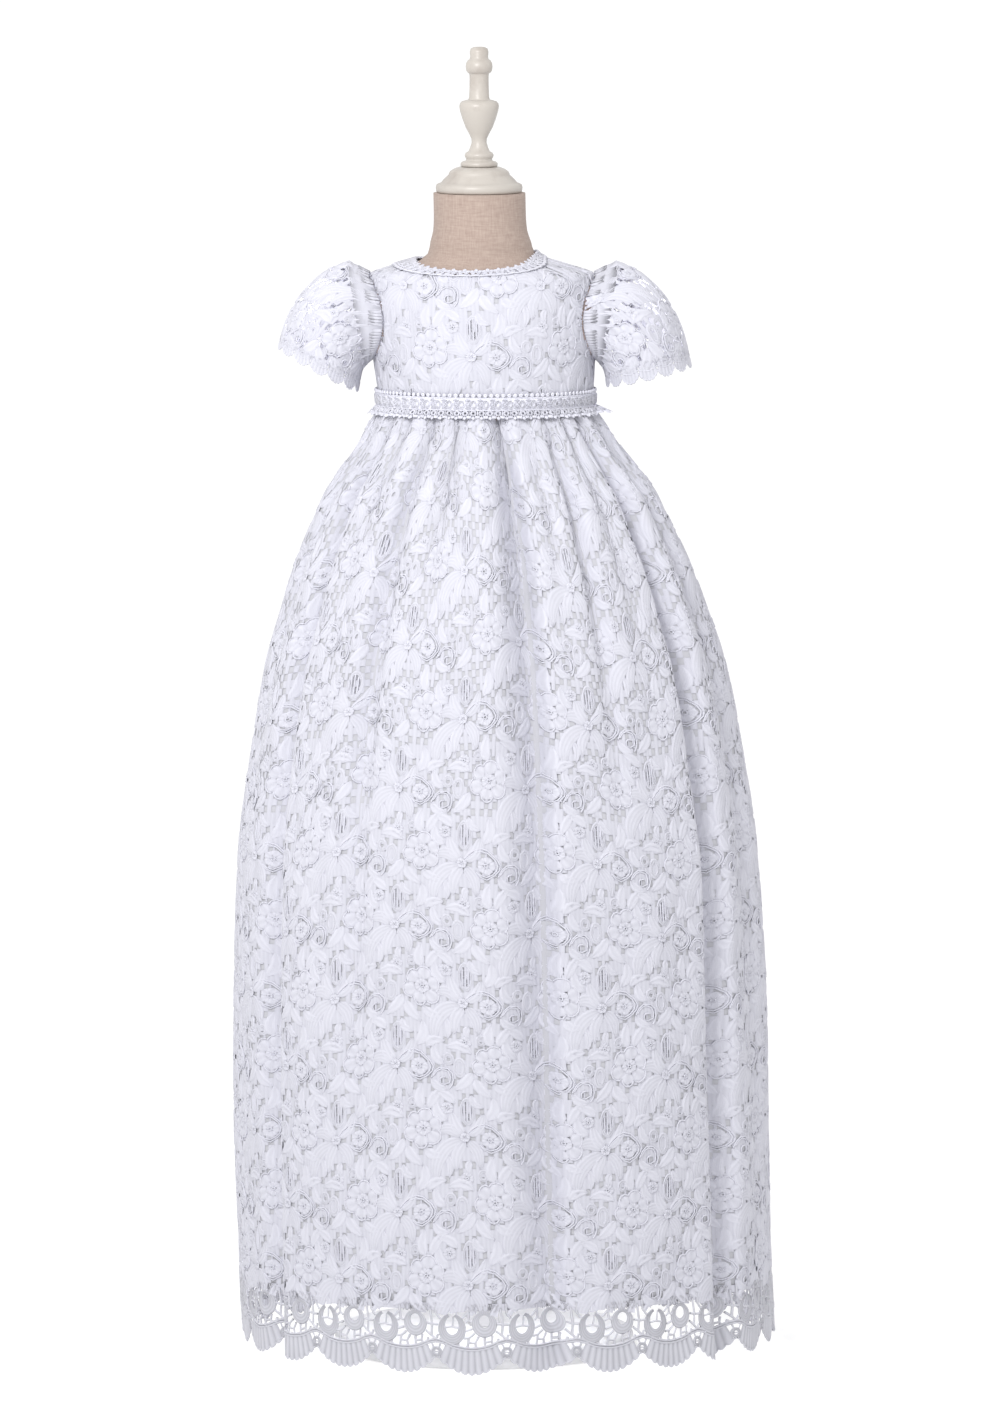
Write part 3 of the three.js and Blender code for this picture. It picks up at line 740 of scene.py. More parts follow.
def node(tree, kind, settings=None, **links):
    """Adds a node, sets its properties and sockets, and links what is given as an output socket."""
    made = tree.nodes.new(kind)
    for key, value in (settings or {}).items():
        if isinstance(key, str) and hasattr(made, key):
            setattr(made, key, value)
        else:
            made.inputs[key].default_value = value
    for key, source in links.items():
        by_number = key[0] == "i" and key[1:].isdigit()
        socket = int(key[1:]) if by_number else key.replace("_", " ")
        tree.links.new(source, made.inputs[socket])
    return made


def new_material(name):
    material = bpy.data.materials.new(name)
    material.use_nodes = True
    return material, material.node_tree, material.node_tree.nodes["Principled BSDF"]


def finish_material(tree, shader, colour, height, strength, distance):
    bump = node(tree, "ShaderNodeBump", {"Strength": strength, "Distance": distance}, Height=height)
    tree.links.new(bump.outputs["Normal"], shader.inputs["Normal"])
    tree.links.new(colour, shader.inputs["Base Color"])


def guipure_cotton(name, ground, raised):
    """Mercerised cotton thread, machine embroidered in close satin stitch: matt with a soft edge
    sheen, and ridged by its threads, drawn twice as coarse as the real 0.4 mm so that they show."""
    material, tree, shader = new_material(name)
    flat = node(tree, "ShaderNodeAttribute", {"attribute_name": "flat"})
    threads = node(
        tree,
        "ShaderNodeTexWave",
        {"Scale": 0.4, "Distortion": 5, "Detail": 2, "Detail Scale": 0.25},
        Vector=flat.outputs["Vector"],
    )
    fuzz = node(tree, "ShaderNodeTexNoise", {"Scale": 0.9, "Detail": 4}, Vector=flat.outputs["Vector"])
    height = node(
        tree,
        "ShaderNodeMix",
        {"data_type": "FLOAT", "Factor": 0.45},
        i2=threads.outputs["Fac"],
        i3=fuzz.outputs["Fac"],
    )
    # painted shade: the colour runs darker the lower the stitching lies, shading the ground between the
    # raised motifs; in part the thin ground also lets the lining show
    rise = node(tree, "ShaderNodeSeparateXYZ", None, Vector=flat.outputs["Vector"])
    painted_shade_by_height = {"operation": "MULTIPLY_ADD", 1: 0.6, 2: 0.1}
    share = node(tree, "ShaderNodeMath", painted_shade_by_height, i0=rise.outputs["Z"])
    cloudy = node(tree, "ShaderNodeTexNoise", {"Scale": 0.05, "Detail": 4}, Vector=flat.outputs["Vector"])
    patchy = node(
        tree,
        "ShaderNodeMath",
        {"operation": "MULTIPLY_ADD", 1: 0.35},
        i0=cloudy.outputs["Fac"],
        i2=share.outputs[0],
    )
    colour = node(tree, "ShaderNodeValToRGB", None, Fac=patchy.outputs[0])
    colour.color_ramp.elements[0].position = 0.1
    colour.color_ramp.elements[0].color = linear(ground)
    colour.color_ramp.elements[1].position = 0.8
    colour.color_ramp.elements[1].color = linear(raised)
    finish_material(tree, shader, colour.outputs["Color"], height.outputs[0], 0.5, 0.0005)
    shader.inputs["Roughness"].default_value = 0.82
    shader.inputs["Sheen Weight"].default_value = 0.15
    return material


def lawn_cotton():
    """Plain woven cotton lawn of the lining: flat and matt, with a fine even weave of crossed
    threads drawn at 1.6 mm in place of 0.3 mm so that it shows."""
    material, tree, shader = new_material("cotton_lawn_plain_weave")
    flat = node(tree, "ShaderNodeAttribute", {"attribute_name": "flat"})
    place = flat.outputs["Vector"]
    weft = node(tree, "ShaderNodeTexWave", {"bands_direction": "Y", "Scale": 0.2}, Vector=place)
    warp = node(tree, "ShaderNodeTexWave", {"bands_direction": "X", "Scale": 0.2}, Vector=place)
    crossing = {"operation": "MULTIPLY"}
    weave = node(tree, "ShaderNodeMath", crossing, i0=weft.outputs["Fac"], i1=warp.outputs["Fac"])
    slubs = node(tree, "ShaderNodeTexNoise", {"Scale": 0.06, "Detail": 3}, Vector=flat.outputs["Vector"])
    colour = node(tree, "ShaderNodeValToRGB", None, Fac=slubs.outputs["Fac"])
    # painted shade: the lawn is coloured grey, darker than the lace's thread, so that the openings of the
    # lace look shaded where the lining shows
    colour.color_ramp.elements[0].color = linear("B3B3B9")
    colour.color_ramp.elements[1].color = linear("BFBFC5")
    finish_material(tree, shader, colour.outputs["Color"], weave.outputs[0], 0.2, 0.0003)
    shader.inputs["Roughness"].default_value = 0.92
    return material


def beige_linen():
    """Fine unbleached linen stretched over the form: matt, warm, with uneven slubs along both
    threads, about 1 mm apart."""
    material, tree, shader = new_material("linen_plain_weave")
    place = node(tree, "ShaderNodeTexCoord")
    object_place = place.outputs["Object"]
    long_slubs = node(tree, "ShaderNodeMapping", {"Scale": (1.0, 1.0, 0.12)}, Vector=object_place)
    cross_slubs = node(tree, "ShaderNodeMapping", {"Scale": (0.14, 0.14, 1.0)}, Vector=object_place)
    slubs = {"Scale": 900, "Detail": 3}
    warp = node(tree, "ShaderNodeTexNoise", slubs, Vector=long_slubs.outputs["Vector"])
    weft = node(tree, "ShaderNodeTexNoise", slubs, Vector=cross_slubs.outputs["Vector"])
    both = {"operation": "ADD"}
    weave = node(tree, "ShaderNodeMath", both, i0=warp.outputs["Fac"], i1=weft.outputs["Fac"])
    half = node(tree, "ShaderNodeMath", {"operation": "MULTIPLY", 1: 0.5}, i0=weave.outputs[0])
    colour = node(tree, "ShaderNodeValToRGB", None, Fac=half.outputs[0])
    colour.color_ramp.elements[0].position = 0.3
    colour.color_ramp.elements[0].color = linear("96837A")
    colour.color_ramp.elements[1].position = 0.7
    colour.color_ramp.elements[1].color = linear("AF9E93")
    finish_material(tree, shader, colour.outputs["Color"], half.outputs[0], 0.35, 0.0006)
    shader.inputs["Roughness"].default_value = 0.9
    shader.inputs["Sheen Weight"].default_value = 0.1
    return material


def satin_paint(name, worn, fresh):
    """Turned beech under satin paint: smooth, with faint brush marks round the turning and
    slightly darker paint where it has worn."""
    material, tree, shader = new_material(name)
    place = node(tree, "ShaderNodeTexCoord")
    object_place = place.outputs["Object"]
    lathe = node(tree, "ShaderNodeMapping", {"Scale": (0.1, 0.1, 1.0)}, Vector=object_place)
    brush = node(tree, "ShaderNodeTexNoise", {"Scale": 700, "Detail": 3}, Vector=lathe.outputs["Vector"])
    rubbed = {"Scale": 40, "Detail": 5, "Roughness": 0.6}
    wear = node(tree, "ShaderNodeTexNoise", rubbed, Vector=object_place)
    colour = node(tree, "ShaderNodeValToRGB", None, Fac=wear.outputs["Fac"])
    colour.color_ramp.elements[0].position = 0.32
    colour.color_ramp.elements[0].color = linear(worn)
    colour.color_ramp.elements[1].position = 0.55
    colour.color_ramp.elements[1].color = linear(fresh)
    finish_material(tree, shader, colour.outputs["Color"], brush.outputs["Fac"], 0.12, 0.0004)
    shader.inputs["Roughness"].default_value = 0.38
    return material


def woven_tape():
    """Cotton twill tape: matt, with slanting ridges, drawn 2 mm apart in place of 1 mm so that
    they show."""
    material, tree, shader = new_material("cotton_twill_tape")
    flat = node(tree, "ShaderNodeAttribute", {"attribute_name": "flat"})
    slanting = {"bands_direction": "DIAGONAL", "Scale": 0.22}
    ridges = node(tree, "ShaderNodeTexWave", slanting, Vector=flat.outputs["Vector"])
    fuzz = node(tree, "ShaderNodeTexNoise", {"Scale": 0.5, "Detail": 4}, Vector=flat.outputs["Vector"])
    colour = node(tree, "ShaderNodeValToRGB", None, Fac=fuzz.outputs["Fac"])
    # painted light: the tape is coloured lighter than the lace's thread, to lift the darker shading of the
    # band
    colour.color_ramp.elements[0].color = linear("DCDCE5")
    colour.color_ramp.elements[1].color = linear("E4E4ED")
    finish_material(tree, shader, colour.outputs["Color"], ridges.outputs["Fac"], 0.35, 0.0004)
    shader.inputs["Roughness"].default_value = 0.8
    shader.inputs["Sheen Weight"].default_value = 0.1
    return material


def pearl_button():
    """Polyester pearl: smooth and glossy, with soft cloudy layers just under the surface."""
    material, tree, shader = new_material("polyester_pearl")
    place = node(tree, "ShaderNodeTexCoord")
    swirls = {"Scale": 260, "Detail": 3, "Distortion": 1.5}
    layers = node(tree, "ShaderNodeTexNoise", swirls, Vector=place.outputs["Object"])
    colour = node(tree, "ShaderNodeValToRGB", None, Fac=layers.outputs["Fac"])
    colour.color_ramp.elements[0].color = linear("E6E1DC")
    colour.color_ramp.elements[1].color = linear("FAF8F6")
    finish_material(tree, shader, colour.outputs["Color"], layers.outputs["Fac"], 0.05, 0.0002)
    shader.inputs["Roughness"].default_value = 0.22
    shader.inputs["Coat Weight"].default_value = 0.4
    return material


def studio_floor():
    """Matt white acrylic of a studio table that is lit from below: pale and without a hard shadow."""
    material, tree, shader = new_material("white_acrylic_light_table")
    place = node(tree, "ShaderNodeTexCoord")
    grain = node(tree, "ShaderNodeTexNoise", {"Scale": 60, "Detail": 3}, Vector=place.outputs["Object"])
    colour = node(tree, "ShaderNodeValToRGB", None, Fac=grain.outputs["Fac"])
    colour.color_ramp.elements[0].color = linear("A8A8A8")
    colour.color_ramp.elements[1].color = linear("ADADAD")
    finish_material(tree, shader, colour.outputs["Color"], grain.outputs["Fac"], 0.02, 0.001)
    shader.inputs["Roughness"].default_value = 0.95
    shader.inputs["Emission Color"].default_value = (1, 1, 1, 1)
    shader.inputs["Emission Strength"].default_value = 0.62
    return material


cotton_lace = guipure_cotton("guipure_cotton_over_lining", "C3C3CD", "D2D2DC")
# the same thread in other tones: the bodice copy is darker, as painted shade, and the band copy lighter, as
# painted light
bodice_lace = guipure_cotton("guipure_cotton_on_bodice_painted_shade", "C0C0CA", "CECED8")
band_lace = guipure_cotton("guipure_cotton_over_tape_painted_light", "CDCDD7", "DADAE4")
# a greyer copy of the same thread: painted shade on the hem border, which has no white lining behind it
unlined_lace = guipure_cotton("guipure_cotton_unlined_painted_shade", "A9A9B1", "C9C9D1")
cotton_lawn = lawn_cotton()
linen_cover = beige_linen()
# the cap and finial paint is cream, darkened beyond its own tone as painted shade
cream_wood = satin_paint("beech_satin_cream_paint_painted_shade", "A49C95", "B5AFA8")
white_wood = satin_paint("beech_satin_white_paint", "D6D6D8", "E4E4E6")
tape_cloth = woven_tape()
pearl = pearl_button()

# Skirt: lining, lace and cut border


def lining_panel(name, first, last):
    """A panel of lining between two places round the hem. Its rows are closest under the waist."""
    bm = bmesh.new()
    bmesh.ops.create_grid(bm, x_segments=110, y_segments=50, size=0.5)
    for vertex in bm.verts:
        vertex.co.x = first + (vertex.co.x + 0.5) * (last - first)
        share = vertex.co.y + 0.5
        vertex.co.y = LINING_TOP + (LINING_DROP - LINING_TOP) * share**1.3
    mesh = mesh_from(bm, name)
    mesh.flip_normals()

    def to_gown(x, y, z):
        angle = -90 + 360 * x / LACE_ROUND
        return skirt_points(angle, y, LINING_INSET - z)

    bend(mesh, to_gown)
    return mesh


half_round = LACE_ROUND / 2
for name, first in (("lining_front", 0), ("lining_back", half_round)):
    mesh = lining_panel(name, first, first + half_round)
    panel = add_piece(name, mesh, cotton_lawn, [name])
    give_thickness(panel, 0.4)


def lace_to_skirt(x, y, z):
    """Pattern x runs round the hem, y up from the lower edge of the lining, z out of the cloth."""
    turn = 2 * pi * x / LACE_ROUND
    swing = 6 * np.sin(3 * turn + 1) + 3.2 * np.sin(7 * turn + y / 90) + 1.2 * np.sin(13 * turn - y / 50)
    drop = LINING_DROP - y + swing * np.clip(y / 120, 0, 1) * np.clip((LINING_DROP - y) / 60, 0, 1)
    return skirt_points(gathered_angle(x, drop), drop, LACE_GROUND - z)


def lace_to_hem(x, y, z):
    """Pattern y runs up from the tips of the scallops; the free edge waves a little."""
    drop = HEM_DROP - y
    wave = 1.6 * np.sin(2 * pi * x / 173) * np.clip(1 - y / 52, 0, 1)
    return skirt_points(-90 + 360 * x / LACE_ROUND, drop, LACE_GROUND - z + wave)


close_repeat = lace_tile((0, 1))
airy_repeat = lace_tile((0, 1, 2, 3), airy=True)
bodice_repeat = lace_tile((0,))
sleeve_repeat = lace_tile((0, 1, 2))
hem_repeat = hem_tile()
close_rows = 4
airy_rows = 3  # the uppermost, in the gathers
quarter_columns = SCALLOPS // 4
for k, name in enumerate(("front_left", "front_right", "back_right", "back_left")):
    node_name = "skirt_lace_front" if k < 2 else "skirt_lace_back"
    first = k * quarter_columns * REPEAT_WIDE
    mesh = half_drop(((close_repeat, close_rows), (airy_repeat, airy_rows)), quarter_columns)
    shifted(mesh, first, 0)
    top = LINING_DROP - 3.5
    keep_where(mesh, lambda x, y: (y > -2.5) & (y < top))
    bend(mesh, lace_to_skirt)
    panel = add_piece("skirt_lace_" + name, mesh, cotton_lace, [node_name])
for k, name in enumerate(("hem_lace_front", "hem_lace_back")):
    mesh = shifted(repeated(hem_repeat, SCALLOPS // 2, 1, REPEAT_WIDE, 1), k * half_round, 0)
    bend(mesh, lace_to_hem)
    panel = add_piece(name + "_border", mesh, unlined_lace, [name])

# Bodice: lining shell, lace and edgings

BODICE_MM_PER_DEGREE = 1.4  # flat lace to one degree of turn round the chest


def bodice_shape(x, y, first, last, tuck=0.0):
    """Whether a flat place lies on a bodice panel that spans the given angles. y is the height, and
    tuck is how many degrees the panel runs on under the sleeve seam."""
    angle = x / BODICE_MM_PER_DEGREE
    beside = np.abs(np.abs(angle) - 90)
    free_of_arm = (beside > armhole_spread(y) - tuck) | (y < ARMHOLE["low"]) | (y > ARMHOLE["high"])
    between = (angle > first) & (angle < last)
    return between & free_of_arm & (y < neckline_z(angle) - 0.4) & (y > BAND["low"] + 1)


def bodice_to_gown(x, y, z):
    return torso_points(x / BODICE_MM_PER_DEGREE, y, LACE_GROUND - 0.3 - z)


BODICE_PANELS = (
    ("bodice_front", -90, 90),
    ("bodice_back_right", 90.2, 179.3),
    ("bodice_back_left", 180.7, 269.8),
)
for name, first, last in BODICE_PANELS:
    wide = (last - first) * BODICE_MM_PER_DEGREE
    # the pattern starts a little outside the panel, so that whole repeats cover it
    columns = int(wide // REPEAT_WIDE) + 2
    start = first * BODICE_MM_PER_DEGREE - 12
    flat = shifted(half_drop([(bodice_repeat, 2)], columns), start, BAND["low"] - 28)
    keep_where(flat, lambda x, y: bodice_shape(x, y, first, last))
    bend(flat, bodice_to_gown)
    lace = add_piece(name + "_lace", flat, bodice_lace, [name])
    bm = bmesh.new()
    bmesh.ops.create_grid(bm, x_segments=54, y_segments=44, size=0.5)
    for vertex in bm.verts:
        share = vertex.co.x + 0.5
        rise = vertex.co.y + 0.5
        height = BAND["low"] + 0.5 + rise * (NECKLINE["side"] + 3 - BAND["low"])
        angle = first + share * (last - first)
        vertex.co = Vector((angle * BODICE_MM_PER_DEGREE, height, 0))
    backing = mesh_from(bm, name + "_backing")

    def backing_shape(x, y):
        # the seam gapes at the front of the right arm, so there it isn't tucked under
        tuck = np.where((x > 0) & (first < 0), 0, SEAM_TUCK)
        below_neck = bodice_shape(x, y + 1.8, first, last, tuck)
        return below_neck | (bodice_shape(x, y, first, last, tuck) & (y < 850))

    keep_where(backing, backing_shape)
    bend(backing, lambda x, y, z: torso_points(x / BODICE_MM_PER_DEGREE, y, BACKING_INSET - z))
    cloth = add_piece(name + "_backing", backing, cotton_lawn, [name])
    give_thickness(cloth, 0.3)


def run_along(name, place, scallop_count, tile, span):
    """Lays a small edging tile `scallop_count` times along a line; place(share, up, out)."""
    flat = repeated(tile, scallop_count, 1, span, 1)
    total = scallop_count * span
    bend(flat, lambda x, y, z: place(x / total, y, z))
    return flat


def neck_tile():
    """One scallop of the neckline: three small petals on an eyelet, above a cord, 6 mm long."""
    bm = bmesh.new()
    tube(bm, [(0, 0), (1.5, 0.3), (3, 0.4), (4.5, 0.3), (6, 0)], 0.7)
    cup(bm, (3, 2.4, 0.6, 0.5), (3, 2.3, 2.4, 1.9), steps=8, heights=CORDED)
    for turn in (35, 90, 145):
        blade(bm, ray(3, 2.6, turn, 0.9, 3.6), 2.5, steps=3, fullest=0.6)
    return mesh_from(bm, "neck_repeat")


def neck_place(share, up, out):
    angle = -178.5 + 357 * share
    z = neckline_z(angle) - 3.2 + 0.85 * up
    return torso_points(angle, z, -0.5 - out)


edging = run_along("neck_edging", neck_place, 52, neck_tile(), 6)
add_piece("neck_edging", edging, cotton_lace)


# Sleeves: unlined lace, cuff scallops and the seam round the armhole


def sleeve_long(around):
    """Flat length of the sleeve from armhole to cuff at a place round the arm."""
    share = (1 + np.cos(np.radians(around))) / 2
    return SLEEVE_UNDER_LONG + (SLEEVE_TOP_LONG - SLEEVE_UNDER_LONG) * share


def sleeve_lace(sleeve, first, last):
    """Lace between two places round the arm."""
    round_arm = SLEEVE_REPEATS * REPEAT_WIDE
    flat = repeated(sleeve_repeat, SLEEVE_REPEATS, 2, REPEAT_WIDE, REPEAT_HIGH)
    shifted(flat, -round_arm / 2, 8)
    mm_per_degree = round_arm / 360
    keep_where(
        flat,
        lambda x, y: (y < sleeve_long(x / mm_per_degree) - 0.5)
        & (x / mm_per_degree > first)
        & (x / mm_per_degree < last),
    )

    def to_gown(x, y, z):
        around = x / mm_per_degree
        along = 5 * (1 - y / sleeve_long(around))
        gathers = np.sin(np.radians(26 * around + 30 * np.sin(np.radians(5 * around))))
        gathers *= 0.7 * np.clip(1.1 - along / 2.2, 0, 1) * np.clip(along / 0.3, 0, 1)
        return sleeve_points(sleeve, around, along, LACE_GROUND - 0.3 - z - gathers)

    bend(flat, to_gown)
    return flat


def cuff_edge(sleeve, first, last):
    """The scallops of the cuff between two places round the arm."""
    count = CUFF_SCALLOPS // 2
    span = SLEEVE_REPEATS * REPEAT_WIDE / CUFF_SCALLOPS
    flat = repeated(cuff_tile(span), count, 1, span, 1)

    def to_gown(x, y, z):
        around = first + (last - first) * x / (count * span)
        along = 5 * (1 - y / sleeve_long(around))
        return sleeve_points(sleeve, around, along, LACE_GROUND - 0.3 - z)

    bend(flat, to_gown)
    return flat


def armhole_seam(sleeve, first, last):
    """The line of stitches that holds the gathered sleeve in the armhole, a short cord a stitch."""
    bm = bmesh.new()
    tube(bm, [(first + (last - first) * i / 80, 0.02) for i in range(81)], 1.0, sides=6, height=-0.8)
    stitches = round((last - first) / 4)
    for k in range(stitches):
        start = first + (last - first) * k / stitches
        path = [(start + 4 * share, 0.08 * sin(pi * share)) for share in (0.1, 0.4, 0.7, 1.0)]
        tube(bm, path, 0.5, height=0)
    mesh = mesh_from(bm, "armhole_seam")
    bend(mesh, lambda x, y, z: sleeve_points(sleeve, x, y, -0.6 - z))
    return mesh


for side, sleeve in SLEEVES.items():
    for part, first, last in (("front", 0, 180), ("back", -180, 0)):
        name = "sleeve_" + side + "_" + part
        mesh = joined([sleeve_lace(sleeve, first, last), cuff_edge(sleeve, first, last)], name)
        panel = add_piece(name, mesh, cotton_lace, [name])
    # on one side the seam gapes in front and shows the form
    gap = (62, 80) if side == "right" else (180, 180)
    add_piece("armhole_seam_" + side, armhole_seam(sleeve, gap[1] - 360, gap[0]), cotton_lace)

# Waist tape with its lace edges

band_degrees = 360 - 2 * BAND["opening"]
bm = bmesh.new()
bmesh.ops.create_cube(bm, size=1)
for vertex in bm.verts:
    vertex.co = Vector((
        (vertex.co.x) * band_degrees * BODICE_MM_PER_DEGREE,
        BAND["low"] + 4 + (vertex.co.y + 0.5) * (BAND["high"] - BAND["low"] - 6.5),
        vertex.co.z * BAND["wall"],
    ))
long_edges = [e for e in bm.edges if abs(e.verts[0].co.x - e.verts[1].co.x) > 1]
bmesh.ops.bevel(
    bm,
    geom=long_edges,
    offset=0.4,
    offset_type="OFFSET",
    segments=2,
    profile=0.5,
    affect="EDGES",
    material=-1,
)
long_edges = [e for e in bm.edges if abs(e.verts[0].co.x - e.verts[1].co.x) > 1]
bmesh.ops.subdivide_edges(bm, edges=long_edges, cuts=150, use_grid_fill=True)
band_mesh = mesh_from(bm, "waist_band")
bend(
    band_mesh,
    lambda x, y, z: torso_points(x / BODICE_MM_PER_DEGREE, y, -BAND["lift"] - BAND["wall"] / 2 - z),
)
add_piece("waist_band", band_mesh, tape_cloth, ["waist_band"])


def bead_tile():
    """One bead of the row along the top of the band."""
    bm = bmesh.new()
    ring(bm, 2.2, 2.1, 0.85, 0.85, radius=0.95, count=8)
    tube(bm, [(0, 0), (4.4, 0)], 0.7)
    return mesh_from(bm, "bead_repeat")


def eyelet_tile():
    """An oval and a small flower of the lace laid over the tape, 9 mm long."""
    bm = bmesh.new()
    cup(bm, (4.5, 4, 0.9, 1.5), (4.5, 4, 2.9, 4.2), steps=10, heights=CORDED)
    flower(bm, 0.6, 4, 2.3, 5)
    for x, y in ((0.6, 7.2), (0.6, 0.8)):
        blade(bm, [(x - 2.2, y), (x, y + 0.4), (x + 2.2, y)], 1.7, steps=3)
    return mesh_from(bm, "eyelet_repeat")


def frill_tile():
    """One scallop of the narrow lace below the band, y down from the seam."""
    bm = bmesh.new()
    tube(bm, [(0, 0.6), (3, 0.4), (6, 0.6)], 0.7)
    cup(bm, (3, 3.4, 0.9, 1), (3, 3.2, 2.5, 2.5), steps=8, heights=CORDED)
    for turn in (50, 90, 130):
        blade(bm, ray(3, 3.6, turn, 2, 5.2), 2.6, steps=3, fullest=0.6)
    tube(bm, [(0, 0.6), (0.2, 3), (0, 5)], 0.5, sides=3)
    return mesh_from(bm, "frill_repeat")


def upper_band_place(share, up, out):
    angle = -180 + BAND["opening"] + band_degrees * share
    return torso_points(angle, BAND["high"] - 2.9 + up, -BAND["lift"] - 0.9 - out)


def middle_band_place(share, up, out):
    angle = -180 + BAND["opening"] + band_degrees * share
    return torso_points(angle, BAND["low"] + 5.2 + up, -BAND["lift"] - BAND["wall"] - 0.1 - 1.7 * out)


def lower_band_place(share, down, out):
    """The frill lies over the gathers and stands off them, most of all at one side seam, where its
    corner sticks out."""
    angle = -180 + BAND["opening"] + band_degrees * share
    corner = np.exp(-(((angle - 86) / 9) ** 2))
    ruffle = 0.25 * np.sin(np.radians(angle * 23)) + 0.15 * np.sin(np.radians(angle * 41 + 30))
    away = BAND["lift"] + 0.9 + out + down * (0.62 + ruffle + 1.1 * corner)
    return torso_points(angle, BAND["low"] + 5 - down * (0.95 - 0.2 * corner), -away)


upper = run_along("band_beads", upper_band_place, 113, bead_tile(), 4.4)
middle = run_along("band_eyelets", middle_band_place, 55, eyelet_tile(), 9)
lower = run_along("band_frill", lower_band_place, 82, frill_tile(), 6)
add_piece("band_edging", joined([upper, middle, lower], "band_edging"), band_lace)

# Back closing: underlap, loops and buttons

BUTTON_ANGLE = 172.5
BUTTON_LOWEST = 782
BUTTON_SPACING = 20
BUTTON_HEIGHTS = [BUTTON_LOWEST + BUTTON_SPACING * k for k in range(5)]

bm = bmesh.new()
UNDERLAP_FROM = 177  # degrees round the body
UNDERLAP_WIDE = 6
UNDERLAP_LOW = 757
underlap_high = neckline_z(180) - 2 - UNDERLAP_LOW


def underlap_place(u, v):
    angle = UNDERLAP_FROM + UNDERLAP_WIDE * u
    return (angle * BODICE_MM_PER_DEGREE, UNDERLAP_LOW + v * underlap_high, 0)


patch(bm, 6, 50, underlap_place)
underlap = mesh_from(bm, "closing_underlap")
bend(underlap, lambda x, y, z: torso_points(x / BODICE_MM_PER_DEGREE, y, UNDERLAP_INSET - z))
add_piece("closing_underlap", underlap, cotton_lawn)

bm = bmesh.new()
edge_x = 180.9 * BODICE_MM_PER_DEGREE
reach = edge_x - BUTTON_ANGLE * BODICE_MM_PER_DEGREE + 1.4
for z in BUTTON_HEIGHTS:
    tube(bm, arc(edge_x, z, reach, 1.9, 90, 270, 12), 0.55, height=0)
loops = mesh_from(bm, "button_loops")
bend(loops, lambda x, y, z: torso_points(x / BODICE_MM_PER_DEGREE, y, -1.1 - z))
add_piece("button_loops", loops, cotton_lace)


def button_mesh(centre, outward):
    """A shanked button with a shallow dish, made square to the cloth."""
    bm = bmesh.new()
    top = [(0, 2.1), (2.6, 2.1), (3.4, 2.5), (4.2, 2.8), (4.9, 2.3)]
    profile = top + [(5, 1.5), (4.2, 0.9), (1.2, 0.7), (1, 0.4)]
    chain = [bm.verts.new((r, 0, z)) for r, z in profile]
    edges = [bm.edges.new(pair) for pair in zip(chain, chain[1:])]
    bmesh.ops.spin(
        bm, geom=chain + edges, cent=(0, 0, 0), axis=(0, 0, 1), angle=2 * pi, steps=24, use_merge=True
    )
    bmesh.ops.remove_doubles(bm, verts=bm.verts[:], dist=0.01)
    bmesh.ops.recalc_face_normals(bm, faces=bm.faces[:])
    turn = outward.to_track_quat("Z", "Y").to_matrix().to_4x4()
    place = Matrix.Translation(centre) @ Matrix.Scale(MM, 4) @ turn
    bmesh.ops.transform(bm, matrix=place, verts=bm.verts[:])
    return mesh_from(bm, "button")


for k, height in enumerate(BUTTON_HEIGHTS):
    z = np.array([float(height)])
    angle = np.array([BUTTON_ANGLE])
    at = torso_points(angle, z, np.array([0.0]))[0]
    out = torso_points(angle, z, np.array([-1.0]))[0] - at
    mesh = button_mesh(Vector(at * MM), Vector(out))
    name = "button_" + str(k + 1)
    add_piece(name, mesh, pearl, [name])

# Dress form


def turned_mesh(name, profile, x):
    """A body spun round a vertical line from (height, radius) rows, from the bottom up."""
    bm = bmesh.new()
    chain = [bm.verts.new((radius * MM, 0, z * MM)) for z, radius in profile]
    edges = [bm.edges.new(pair) for pair in zip(chain, chain[1:])]
    bmesh.ops.spin(
        bm, geom=chain + edges, cent=(0, 0, 0), axis=(0, 0, 1), angle=2 * pi, steps=64, use_merge=True
    )
    bmesh.ops.remove_doubles(bm, verts=bm.verts[:], dist=0.00001)
    bmesh.ops.recalc_face_normals(bm, faces=bm.faces[:])
    bmesh.ops.translate(bm, vec=(x * MM, 0, 0), verts=bm.verts[:])
    return mesh_from(bm, name)


# Profiles of the turned pieces: height and radius, from the bottom up.
CAP = [
    (928.4, 0), (928.4, 33.4), (929.4, 34.2), (932.4, 34.6), (934.6, 34), (935.6, 32.4),
    (936.2, 30.4), (938.5, 28.6), (941.2, 25.8), (942.4, 24.4), (943.4, 24.2), (945.2, 23.2),
    (947, 20.6), (948.2, 17.6), (948.6, 16), (948.6, 0),
]
FINIAL = [
    (948.8, 0), (948.8, 14), (949.6, 14.8), (951.6, 14.8), (952.8, 13.6), (953.6, 10.8),
    (954.8, 10.2), (956.4, 11.2), (958, 11.6), (959.8, 10.8), (961, 8.6), (964, 7.2), (968, 6),
    (971, 6.2), (975, 8), (980, 10.8), (987, 13.4), (993, 15.2), (996.5, 15.8), (999, 15.4),
    (1000.8, 13.8), (1001.6, 11), (1002.2, 8.6), (1004, 8), (1012, 7.7), (1020, 7.6),
    (1022.6, 7.8), (1023.4, 9), (1025, 10.2), (1028, 10.7), (1031, 10.4), (1033.4, 9),
    (1034.2, 7.6), (1036, 7.2), (1040, 7.5), (1042.6, 6.8), (1043.8, 4.4), (1044, 2), (1044, 0),
]
FOOT = [
    (0, 0), (0, 117.4), (1, 118.8), (3, 120), (10, 120), (12.4, 118.6), (14.2, 115), (15.6, 108),
    (16, 104), (16, 0),
]
POLE = [(16.3, 0), (16.3, 12), (650.9, 12), (650.9, 0)]
